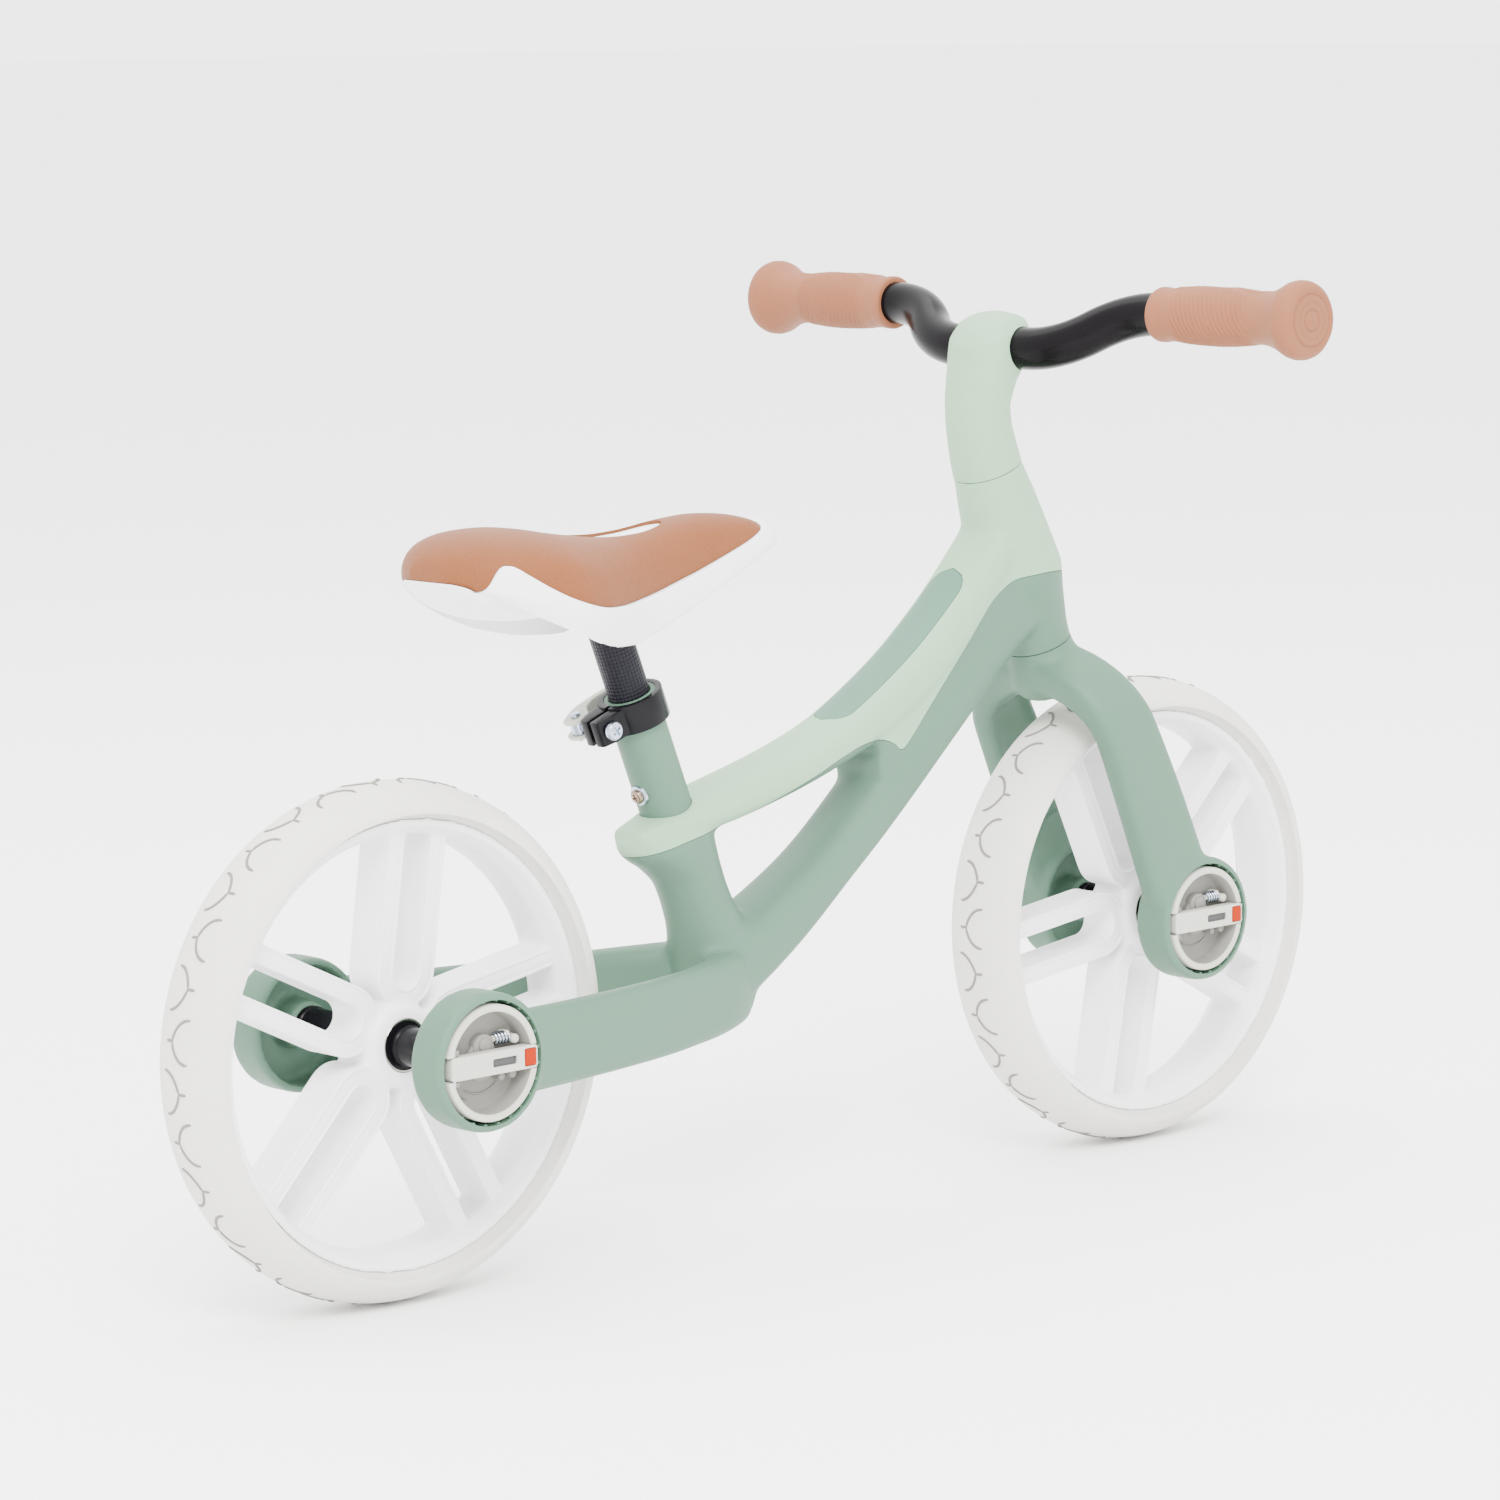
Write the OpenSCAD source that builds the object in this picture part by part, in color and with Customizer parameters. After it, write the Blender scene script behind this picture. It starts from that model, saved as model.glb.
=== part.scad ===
// Toddler's balance bike: a two-colour moulded frame and fork, cast wheels on
// quick-release axles, and a height-adjustable saddle. +X points forward, +Y to
// the rider's left and +Z up; the origin is on the ground midway between the axles.

/* [Wheels] */
// Outer diameter of the tyres
wheel_d = 250; // [205:1:310]
// Distance between the two axles
wheelbase = 518; // [430:1:630]
// Width of the tyre
tyre_w = 46; // [38:1:55]
// Height of the tyre above the edge of the rim
tyre_h = 16.6; // [12:0.1:20]
// Width of the rim over its two edges
rim_w = 35; // [29:0.5:42]
// Radial depth of the rim band
rim_depth = 9; // [6:0.5:12]
// Width of the hub over its bearings
hub_w = 30; // [25:0.5:36]
// Outer diameter of the hub
hub_d = 42; // [36:0.5:50]
// Number of twin spokes
spoke_pairs = 5; // [4:1:6]
// Width over the two legs of a twin spoke
spoke_w = 34; // [28:0.5:40]
// Thickness of each leg of a twin spoke
spoke_leg = 9; // [6:0.5:11]
// Depth of a spoke along the axle
spoke_depth = 22; // [14:0.5:26]

/* [Axles and bearings] */
// Diameter of both axles
axle_d = 10; // [8:0.1:12]
// Outer diameter of a hub bearing
hub_bearing_d = 26; // [22:0.5:32]
// Width of a hub bearing
hub_bearing_w = 8; // [6:0.5:10]
// Outer diameter of the axle spacers
spacer_d = 20; // [17:0.5:24]
// Diameter of the axle head on the left side
axle_head_d = 24; // [20:0.5:28]
// Radial clearance of every running fit
running_gap = 0.05; // [0.01:0.01:0.1]
// Clearance between faces that turn past each other
face_gap = 0.3; // [0.2:0.05:0.6]

/* [Axle housings and release dials] */
// Outer diameter of an axle housing
housing_d = 66; // [60:0.5:76]
// Depth of an axle housing along the axle
housing_depth = 22; // [19:0.5:26]
// Half width of the frame at the rear housings
rear_half_w = 78.3; // [70:0.1:90]
// Half width of the fork at the front housings
front_half_w = 54.8; // [52:0.1:64]
// Diameter of a release dial
dial_d = 55; // [50:0.5:60]
// Width of the toothed gap round a dial
dial_groove = 2; // [1.5:0.1:2.5]
// Width of the dial's rim
dial_rim = 3.6; // [2.5:0.1:5]
// Depth of a dial
dial_depth = 14; // [12:0.5:16]
// Number of click teeth round a dial
dial_teeth = 24; // [16:1:32]
// Width of the fold-out lever
lever_w = 11; // [9:0.1:13]
// Thickness of the fold-out lever
lever_t = 6.5; // [6:0.1:7.5]
// Size of the release button along the lever
button_len = 6.5; // [5:0.1:7.5]
// Size of the release button across the lever
button_w = 8; // [6:0.1:8.5]
// Travel of the release button
button_travel = 1.5; // [1:0.1:2]

/* [Steering] */
// Lean of the steering axis from the vertical
head_tilt = 21.6; // [18:0.1:25]
// Distance of the front axle ahead of the steering axis
fork_offset = 11.6; // [8:0.1:20]
// Height of the crown seam above the tyre, along the steering axis
crown_height = 36.3; // [32:0.1:44]
// Length of the head between the crown seam and the stem seam
head_len = 100.6; // [90:0.1:120]
// Diameter of the head at the crown seam
crown_d = 35; // [33:0.1:40]
// Diameter of the head at the stem seam
stem_d = 36; // [33:0.1:40]
// Outer diameter of the steerer tube
steerer_d = 20; // [17:0.1:22]
// Wall of the steerer tube
steerer_wall = 2; // [1.5:0.1:3]
// Outer diameter of a head bearing
head_bearing_d = 30; // [27:0.1:31]
// Height of a head bearing
head_bearing_h = 7; // [5:0.5:9]
// Gap at each seam between the frame and what turns on it
seam_gap = 0.5; // [0.4:0.1:1]

/* [Fork] */
// Half width from the centre plane to the middle of a fork leg
leg_y = 44.5; // [42:0.5:52]
// Half thickness of a fork leg across the bike
leg_half_t = 8.5; // [6:0.5:10]
// Half width of a fork leg fore and aft
leg_half_w = 21.5; // [17:0.5:25]

/* [Handlebar and grips] */
// Diameter of the handlebar tube
bar_d = 22; // [19:0.1:25.4]
// Wall of the handlebar tube
bar_wall = 2; // [1.5:0.1:3]
// Overall width over both grips
bar_width = 390; // [388:0.1:480]
// Height of the bar's middle above the stem seam, along the steering axis
bar_rise = 55.6; // [52:0.1:66]
// Distance of the bar's middle ahead of the steering axis
bar_reach = 29.4; // [25:0.1:32]
// Half length of the bar's straight middle
bar_straight = 24; // [22:0.5:30]
// Bend radius of the bar
bend_r = 49; // [40:1:50]
// Angle of each bend
bend_angle = 45.4; // [35:0.1:46]
// Direction of the bends above the forward direction
bend_lift = 40.2; // [0:0.1:80]
// Forward sweep of the grips
grip_sweep = 0.8; // [0:0.1:6]
// Length of a grip
grip_len = 99.5; // [90:0.1:104]
// Diameter of the grip's body
grip_d = 29.4; // [27:0.1:34]
// Diameter of the grip's neck beside its mushroom end
grip_neck_d = 25.4; // [24:0.1:32]
// Diameter of the ring at the grip's inner end
grip_ring_d = 28; // [26:0.1:34]
// Diameter of the mushroom end of the grip
grip_cap_d = 40; // [36:0.1:46]

/* [Frame] */
// Distance from the rear tyre to the front end of the wheel slot
slot_gap = 53; // [35:1:70]
// Half width of the wheel slot at its round front end
slot_half_w = 31; // [27:0.5:36]
// Half depth of the down tube at its middle
down_half_depth = 14; // [11:0.5:17]
// Half width of the down tube at its middle
down_half_w = 20; // [17:0.5:24]
// Half depth of the upper beam at its middle
upper_half_depth = 14; // [11:0.5:17]
// Half width of the upper beam at its middle
upper_half_w = 20.5; // [18:0.5:24]
// Half height of a rear stay
stay_half_h = 19; // [15:0.5:22]
// Half thickness of a rear stay
stay_half_t = 7; // [5:0.5:9]
// Width of the inlaid strip on the upper beam
badge_w = 25; // [12:0.5:28]

/* [Seat] */
// Lean of the seat axis from the vertical
seat_tilt = 21.5; // [16:0.1:26]
// Distance from the wheel slot's end to the seat axis, at axle height
seat_offset = 39; // [34:0.5:46]
// Diameter of the seat post
post_d = 21; // [17.5:0.1:25.4]
// Length of the seat post
post_len = 178; // [150:1:186]
// Wall of the seat tube
seat_tube_wall = 2.7; // [2:0.1:3.5]
// Height of the seat tube's top above the axles, along the seat axis
seat_tube_top = 161.5; // [150:0.5:172]
// Wall of the clamp collar
collar_wall = 3.2; // [2.5:0.1:4.5]
// Height of the clamp collar
collar_h = 15; // [12:0.5:18]
// Height of the saddle's lowest point above the seat tube's top
seat_raise = 31; // [24:0.5:60]
// Lowest the saddle slides from where it is set
seat_drop = 18; // [10:1:22]
// Length of the saddle
saddle_len = 221; // [190:1:250]
// Half width of the saddle at the back
saddle_half_w = 54; // [45:0.5:65]

/* [Hidden] */
$fn = 72;
far = 400;
slack = 0.02;

sage = [0.66, 0.74, 0.68];
mint = [0.80, 0.85, 0.79];
tan_soft = [0.78, 0.60, 0.50];
chalk = [0.95, 0.95, 0.95];
rubber_pale = [0.89, 0.88, 0.86];
dial_grey = [0.77, 0.76, 0.73];
zinc = [0.72, 0.74, 0.78];
gloss_black = [0.08, 0.08, 0.09];

axle_z = wheel_d / 2;
rear_x = -wheelbase / 2;
front_x = wheelbase / 2;
rim_r = axle_z - tyre_h;
head_x = front_x - fork_offset / cos(head_tilt);
crown_s = axle_z + crown_height;
stem_s = crown_s + head_len;
bar_s = stem_s + bar_rise;
slot_x = rear_x + axle_z + slot_gap;
seat_x = slot_x + seat_offset;
post_bore_r = post_d / 2 + running_gap;
tube_r = post_bore_r + seat_tube_wall;
collar_r = tube_r + collar_wall;
tube_foot_s = 76;
collar_s = seat_tube_top - collar_h / 2;
saddle_s = seat_tube_top + seat_raise;
post_foot_s = saddle_s + 12 - post_len;
recess_r = dial_d / 2 + dial_groove;
recess_depth = dial_depth + face_gap;
rear_inner = rear_half_w - housing_depth;
front_inner = front_half_w - housing_depth;
dial_boss_r = 9.5;
dial_boss_h = 7;
axle_end_depth = dial_depth - dial_boss_h + 0.6;
bend_y = bar_straight + 2 * bend_r * sin(bend_angle);
bend_out = 2 * bend_r * (1 - cos(bend_angle));
grip_end = (bar_width / 2 - bend_y) / cos(grip_sweep);

// ---- places ----

// A point in the bike's centre plane, s along the steering axis and q ahead of it
function head_point(s, q = 0) = [
    head_x - s * sin(head_tilt) + q * cos(head_tilt),
    axle_z + s * cos(head_tilt) + q * sin(head_tilt)
];

// A point in the centre plane, s along the seat axis and q ahead of it
function seat_point(s, q = 0) = [
    seat_x - s * sin(seat_tilt) + q * cos(seat_tilt),
    axle_z + s * cos(seat_tilt) + q * sin(seat_tilt)
];

module at_head(s = 0) {
    translate([head_x, 0, axle_z]) rotate([0, -head_tilt, 0]) translate([0, 0, s]) children();
}

module at_seat(s = 0) {
    translate([seat_x, 0, axle_z]) rotate([0, -seat_tilt, 0]) translate([0, 0, s]) children();
}

// Outward-facing place on the right side: local Z points away from the bike
module at_right(x, half_w) {
    translate([x, -half_w, axle_z]) rotate([90, 0, 0]) children();
}

module at_left(x, half_w) {
    translate([x, half_w, axle_z]) rotate([-90, 0, 0]) children();
}

// A shaft along the axle between two distances from the centre plane
module along_axle(x, from_y, to_y, r) {
    translate([x, from_y, axle_z]) rotate([-90, 0, 0]) cylinder(h = to_y - from_y, r = r);
}

module mirrored_y() {
    children();
    mirror([0, 1, 0]) children();
}

// ---- curves and swept bodies ----

function bezier(p, t) =
    pow(1 - t, 3) * p[0] + 3 * t * pow(1 - t, 2) * p[1] + 3 * t * t * (1 - t) * p[2] + pow(t, 3) * p[3];

// Point at fraction f of the way from a to b
function between(a, b, f) = a + (b - a) * f;

// Value of a list of [position, value...] rows at t, straight between rows
function row_at(rows, t, i = 0) =
    i >= len(rows) - 2 || t <= rows[i + 1][0]
        ? between(rows[i], rows[i + 1], max(0, min(1, (t - rows[i][0]) / (rows[i + 1][0] - rows[i][0]))))
        : row_at(rows, t, i + 1);

// Smooth version of row_at
function soft_row(rows, t) = (row_at(rows, t - 0.03) + row_at(rows, t) + row_at(rows, t + 0.03)) / 3;

function unit(v) = v / norm(v);
function signed_pow(v, e) = sign(v) * pow(abs(v), e);

// Ring of a rounded-box section: a along u, b along v, squareness from e
function ring(c, u, v, a, b, sides, e) = [
    for (i = [0:sides - 1])
        let (w = 360 * (i + 0.5) / sides)
        c + u * (a * signed_pow(cos(w), e)) + v * (b * signed_pow(sin(w), e))
];

// Closed body through a list of rings that all have the same number of points
module skin(rings) {
    n = len(rings[0]);
    m = len(rings);
    polyhedron(
        points = [for (r = rings) each r],
        faces = concat(
            [[for (i = [n - 1:-1:0]) i]],
            [for (k = [0:m - 2], i = [0:n - 1])
                [k * n + i, k * n + (i + 1) % n, (k + 1) * n + (i + 1) % n, (k + 1) * n + i]],
            [[for (i = [0:n - 1]) (m - 1) * n + i]]
        ),
        convexity = 6
    );
}

// Body swept along a centre line in the XZ plane; sizes are [t, half depth, half width] rows
module plane_sweep(path, sizes, steps, sides = 16, e = 0.8) {
    skin([
        for (k = [0:steps])
            let (
                t = k / steps,
                c = bezier(path, t),
                d = unit(bezier(path, min(1, t + 0.01)) - bezier(path, max(0, t - 0.01))),
                s = soft_row(sizes, t)
            )
            ring([c[0], 0, c[1]], [-d[1], 0, d[0]], [0, 1, 0], s[1], s[2], sides, e)
    ]);
}

// ---- frame ----

tail_point = seat_point(95, -30);
upper_start = head_point(crown_s + 75);
upper_path = [
    upper_start,
    between(upper_start, tail_point, 0.27) + [0, -32],
    between(upper_start, tail_point, 0.54) + [0, -62],
    tail_point
];
upper_sizes = [
    [0, upper_half_depth - 2, upper_half_w - 2],
    [0.25, upper_half_depth, upper_half_w],
    [0.75, upper_half_depth, upper_half_w],
    [0.88, upper_half_depth - 3, upper_half_w],
    [0.96, 6, 16],
    [1, 4, 9]
];

down_start = head_point(crown_s + 27);
down_end = [slot_x + 19, axle_z + 2];
down_path = [
    down_start,
    between(down_start, down_end, 0.275) + [0, 25],
    between(down_start, down_end, 0.55) + [0, -27],
    down_end
];
down_sizes = [
    [0, 15, 17],
    [0.3, down_half_depth + 2, down_half_w],
    [0.7, down_half_depth, down_half_w],
    [0.85, down_half_depth + 3, down_half_w + 3],
    [1, stay_half_h, slot_half_w - 2]
];

// Edge of the light cover in side view
module cover_region() {
    front = head_point(crown_s + 45, 80);
    shoulder = head_point(crown_s + 44, -10);
    notch = between(down_start, down_end, 0.46) + [0, 12];
    tail = seat_point(79, -50);
    polygon(concat(
        [front, shoulder, notch, notch + [-8, 8], notch + [-20, 11]],
        [for (f = [0.35:0.15:0.95]) between(notch + [-20, 11], tail, f) + [0, -7 * sin(180 * f)]],
        [tail, tail + [0, 250], front + [0, 250]]
    ));
}

module cover_prism() {
    translate([0, far / 2, 0]) rotate([90, 0, 0]) linear_extrude(far) cover_region();
}

// Outside of the head, turned about the steering axis
module head_outside() {
    at_head() rotate_extrude() polygon([
        [0, crown_s + seam_gap / 2],
        [crown_d / 2, crown_s + seam_gap / 2],
        [crown_d / 2 + 0.5, crown_s + 9],
        [21, crown_s + 27],
        [24, crown_s + 41],
        [22.5, crown_s + 60],
        [20.4, crown_s + 83],
        [stem_d / 2, stem_s - seam_gap / 2],
        [0, stem_s - seam_gap / 2]
    ]);
}

// Seats of both head bearings and the way through for the steerer
module head_bores() {
    at_head(crown_s - 5) cylinder(h = head_len + 10, r = steerer_d / 2 + 1);
    at_head(crown_s - 5) cylinder(h = 5 + 3 + head_bearing_h, r = head_bearing_d / 2);
    at_head(stem_s - 3 - head_bearing_h) cylinder(h = head_bearing_h + 8, r = head_bearing_d / 2);
}

module seat_bores() {
    at_seat(-4) cylinder(h = seat_tube_top, r = post_bore_r);
    at_seat(tube_foot_s) cylinder(h = seat_tube_top, r = tube_r);
}

// Waisted column round the seat axis
module column() {
    at_seat() rotate_extrude() polygon([
        [0, 5], [22, 8], [20, 26], [17.6, 40], [17.2, 52], [17.8, 64], [19, 76], [19, 86], [0, 86]
    ]);
}

module stay(side) {
    tip = [rear_x + 26, side * (rear_half_w - 10), axle_z];
    start = [slot_x + 34, side * 12, axle_z + 1];
    path = [start, [slot_x - 4, side * (slot_half_w + 14), axle_z - 1],
            [slot_x - 60, side * (slot_half_w + 15), axle_z - 3], tip];
    skin([
        for (k = [0:11])
            let (
                t = k / 11,
                d = unit(bezier(path, min(1, t + 0.02)) - bezier(path, max(0, t - 0.02))),
                s = soft_row([[0, 12, stay_half_h], [0.35, stay_half_t + 1, stay_half_h], [1, stay_half_t + 1, stay_half_h + 1]], t)
            )
            ring(bezier(path, t), unit([-d[1], d[0], 0]), [0, 0, -1], s[1], s[2], 16, 0.7)
    ]);
}

// Slot for the rear wheel, seen from above
module wheel_slot() {
    front_c = slot_x - slot_half_w;
    back = rear_x - housing_d;
    spread = rear_inner - slot_half_w;
    translate([0, 0, axle_z - 60]) linear_extrude(90) {
        translate([front_c, 0]) circle(r = slot_half_w);
        polygon([
            [front_c, slot_half_w], [rear_x + housing_d / 2, slot_half_w + spread], [back, rear_inner],
            [back, -rear_inner], [rear_x + housing_d / 2, -slot_half_w - spread], [front_c, -slot_half_w]
        ]);
    }
}

// Recess that takes a dial, with click teeth left standing in its wall
module dial_recess() {
    translate([0, 0, -recess_depth]) linear_extrude(recess_depth + 5) difference() {
        circle(r = recess_r);
        for (i = [0:dial_teeth - 1]) rotate(360 * (i + 0.5) / dial_teeth)
            translate([recess_r, 0]) square([dial_groove, 1.6], center = true);
    }
}

// Pair of housings on one axle; the left one is a cup that opens towards the wheel
module housings(x, half_w) {
    at_right(x, half_w) translate([0, 0, -housing_depth]) cylinder(h = housing_depth, d = housing_d);
    at_left(x, half_w) translate([0, 0, -housing_depth]) cylinder(h = housing_depth, d = housing_d);
}

module housing_cuts(x, half_w) {
    at_right(x, half_w) dial_recess();
    at_left(x, half_w) {
        translate([0, 0, -housing_depth - 1]) difference() {
            cylinder(h = housing_depth - 5, d = housing_d - 8);
            cylinder(h = housing_depth, d = spacer_d + 4);
        }
        translate([0, 0, -3]) cylinder(h = 4, d = axle_head_d + 0.6);
    }
    along_axle(x, -half_w - 1, half_w + 1, axle_d / 2);
}

// Small chin under the place where the down tube meets the stays
module chin() {
    chin_x = slot_x + 38;
    translate([chin_x, 16, axle_z - 8]) rotate([90, 0, 0]) cylinder(h = 32, r = 11);
    translate([chin_x - 30, -16, axle_z - 19]) cube([30, 32, 24]);
}

module main_frame() color(sage) difference() {
    union() {
        head_outside();
        plane_sweep(down_path, down_sizes, 16);
        plane_sweep(upper_path, upper_sizes, 16);
        column();
        difference() {
            union() {
                stay(1);
                stay(-1);
            }
            wheel_slot();
        }
        housings(rear_x, rear_half_w);
        chin();
    }
    cover_prism();
    head_bores();
    seat_bores();
    housing_cuts(rear_x, rear_half_w);
}

module top_cover() color(mint) difference() {
    intersection() {
        union() {
            head_outside();
            plane_sweep(upper_path, upper_sizes, 16);
        }
        cover_prism();
    }
    head_bores();
    seat_bores();
    badge_body();
}

// Strip that follows the ridge of the upper beam
badge_from = 0.2;
badge_to = 0.52;

module badge_body() skin([
    for (k = [0:8])
        let (
            t = between(badge_from, badge_to, k / 8),
            end = sqrt(max(0.04, 1 - pow(abs(k / 4 - 1), 6))),
            c = bezier(upper_path, t),
            d = unit(bezier(upper_path, t + 0.01) - bezier(upper_path, t - 0.01)),
            up = [-d[1], 0, d[0]],
            lift = soft_row(upper_sizes, t)[1] - 1.2
        )
        ring([c[0], 0, c[1]] + up * (d[0] < 0 ? -lift : lift), up, [0, 1, 0], 1.6, end * badge_w / 2, 12, 0.7)
]);

module badge_strip() color(sage * 0.97) badge_body();

module seat_tube() color(sage) difference() {
    at_seat(tube_foot_s) cylinder(h = seat_tube_top - tube_foot_s, r = tube_r);
    at_seat(tube_foot_s - 1) cylinder(h = seat_tube_top, r = post_bore_r);
    at_seat(112) rotate([0, -90, 0]) cylinder(h = 30, r = 2);
}

module seat_tube_screw() color(zinc) at_seat(112) rotate([0, -90, 0]) {
    translate([0, 0, post_bore_r]) cylinder(h = tube_r - post_bore_r + 1, r = 2);
    translate([0, 0, tube_r + 1]) cylinder(h = 2, r = 3.6);
}

module seat_tube_washer() color(zinc) difference() {
    at_seat(112) rotate([0, -90, 0]) translate([0, 0, tube_r - 1]) cylinder(h = 2, r = 5);
    at_seat(100) cylinder(h = 24, r = tube_r);
    at_seat(112) rotate([0, -90, 0]) cylinder(h = 30, r = 2);
}

module head_bearing(s) color(zinc) at_head(s) difference() {
    cylinder(h = head_bearing_h, r = head_bearing_d / 2);
    translate([0, 0, -1]) cylinder(h = head_bearing_h + 2, r = steerer_d / 2 + running_gap);
}

module head_bearing_lower() head_bearing(crown_s + 3);
module head_bearing_upper() head_bearing(stem_s - 3 - head_bearing_h);

// ---- seat clamp ----

ear_x = -(collar_r + 7);
ear_half = 9;
collar_slot = 2.4;
bolt_r = 2.5;
barrel_y = ear_half + 7;
barrel_r = 3.2;
bolt_short = 1.6;
lever_eye_r = 6;
lever_gap = 1.2;
lever_arm_t = 3.4;

module seat_collar() color(gloss_black) at_seat(collar_s) difference() {
    union() {
        cylinder(h = collar_h, r = collar_r, center = true);
        translate([ear_x / 2 - 3, 0, 0]) cube([-ear_x + 6, 2 * ear_half, collar_h - 2], center = true);
    }
    cylinder(h = collar_h + 2, r = tube_r, center = true);
    translate([ear_x - 10, -collar_slot / 2, -collar_h]) cube([-ear_x + 10, collar_slot, 2 * collar_h]);
    translate([ear_x, 0, 0]) rotate([90, 0, 0]) cylinder(h = 40, r = bolt_r, center = true);
}

module collar_bolt() color(zinc) at_seat(collar_s) translate([ear_x, 0, 0]) rotate([90, 0, 0]) {
    translate([0, 0, bolt_short - barrel_y]) cylinder(h = barrel_y - bolt_short + ear_half, r = bolt_r);
    translate([0, 0, ear_half]) cylinder(h = 3.2, r = 4.6);
}

module collar_barrel() color(zinc) at_seat(collar_s) translate([ear_x, barrel_y, 0]) difference() {
    cylinder(h = 6, r = barrel_r + 1, center = true);
    rotate([90, 0, 0]) cylinder(h = 30, r = bolt_r);
    cylinder(h = 20, r = 1.5, center = true);
}

// Cam lever: two prongs round the barrel, then an arm that wraps the collar
module collar_lever() color(dial_grey) at_seat(collar_s) difference() {
    union() {
        translate([ear_x, barrel_y, 0]) cylinder(h = collar_h - 3, r = lever_eye_r, center = true);
        translate([0, 0, -5]) linear_extrude(10) difference() {
            polygon([
                [ear_x - 2, barrel_y + lever_eye_r], [-9, 26.5], [2, 26.5], [12, 24.5], [17, 20],
                [15, 18.6], [9, 21.5], [-3, 22.5], [-12, 19.5], [ear_x + 4, barrel_y - 4]
            ]);
            circle(r = collar_r + lever_gap);
        }
    }
    translate([ear_x, barrel_y, 0]) cylinder(h = 6 + 2 * face_gap, r = 8.5, center = true);
    translate([ear_x, barrel_y, 0]) cylinder(h = 30, r = 1.5 + running_gap, center = true);
    translate([ear_x - 10, ear_half - 10 + face_gap, -collar_h]) cube([-ear_x + 5, 10, 2 * collar_h]);
}

module collar_lever_pins() color(zinc) at_seat(collar_s) translate([ear_x, barrel_y, 0]) {
    cylinder(h = collar_h - 1.5, r = 1.5, center = true);
    for (end = [-1, 1]) translate([0, 0, end * (collar_h / 2 - 0.4)]) cylinder(h = 1, r = 2.6, center = true);
}

// ---- saddle ----

saddle_c = seat_point(saddle_s);
saddle_back = saddle_c[0] - 0.525 * saddle_len;
saddle_base = saddle_c[1];

// Rows of [fraction of length, half width, shell bottom, pad edge, pad top],
// heights measured from the lowest point of the shell at the seat axis
saddle_rows = [
    [0.00, 8, 36, 37, 40],
    [0.03, 26, 31, 36, 47],
    [0.08, 39, 25, 36, 54],
    [0.15, 49, 20, 36, 58],
    [0.25, saddle_half_w, 15, 40, 59],
    [0.35, saddle_half_w - 5, 8, 33, 55],
    [0.45, saddle_half_w - 15, 2, 26, 51],
    [0.54, saddle_half_w - 23, 0, 22, 50],
    [0.65, saddle_half_w - 28, 5, 26, 53],
    [0.78, saddle_half_w - 31, 17, 35, 55],
    [0.90, saddle_half_w - 34, 29, 42, 53],
    [0.97, saddle_half_w - 41, 36, 43, 48],
    [1.00, 5, 40, 42, 44]
];

function saddle_x(f) = saddle_back + f * saddle_len;

// One ring of the shell or the pad at fraction f: low and high are heights, w the half width
function saddle_ring(f, low, high, w, roundness) = [
    for (i = [0:15])
        let (a = 360 * (i + 0.5) / 16, mid = (low + high) / 2)
        [saddle_x(f), -w * signed_pow(cos(a), roundness),
         saddle_base + mid + (high - low) / 2 * signed_pow(sin(a), roundness)]
];

saddle_cuts = [0, 0.03, 0.08, 0.15, 0.22, 0.3, 0.38, 0.46, 0.54, 0.62, 0.7, 0.78, 0.86, 0.93, 0.97, 1];

module saddle_shell() color(chalk) difference() {
    skin([for (f = saddle_cuts) let (r = row_at(saddle_rows, f)) saddle_ring(f, r[2], r[3], r[1], 0.7)]);
    at_seat(saddle_s - 30) cylinder(h = 30 + 13, r = post_d / 2);
    saddle_fixings(slack);
}

module saddle_pad() color(tan_soft) skin([
    for (f = saddle_cuts) let (r = row_at(saddle_rows, f)) saddle_ring(f, r[3] + face_gap, r[4], r[1] - 0.5, 0.75)
]);

module seat_post() color([0.27, 0.27, 0.31]) difference() {
    at_seat(post_foot_s) cylinder(h = post_len, r = post_d / 2);
    at_seat(post_foot_s - 1) cylinder(h = post_len - 6, r = post_d / 2 - 2);
}

bracket_size = [50, 24, 5];

// Room for the bracket and its two bolts inside the shell
module saddle_fixings(extra = 0) {
    translate([saddle_c[0], 0, saddle_base + 14.5]) {
        cube(bracket_size + [2, 2, 2] * extra, center = true);
        for (x = [-17, 17]) translate([x, 0, 0]) cylinder(h = 6, r = 2.5 + extra);
    }
}

module saddle_bracket() color(gloss_black) difference() {
    translate([saddle_c[0], 0, saddle_base + 14.5]) difference() {
        cube(bracket_size, center = true);
        for (x = [-17, 17]) translate([x, 0, 0]) cylinder(h = 20, r = 2.5, center = true);
    }
    at_seat(saddle_s - 30) cylinder(h = 30 + 13, r = post_d / 2);
}

module saddle_bolts() color(zinc) translate([saddle_c[0], 0, saddle_base + 14.5])
    for (x = [-17, 17]) translate([x, 0, -bracket_size[2] / 2]) cylinder(h = 6 + bracket_size[2] / 2, r = 2.5);

// ---- fork, stem and steerer ----

crown_low = crown_s - 26;

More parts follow.
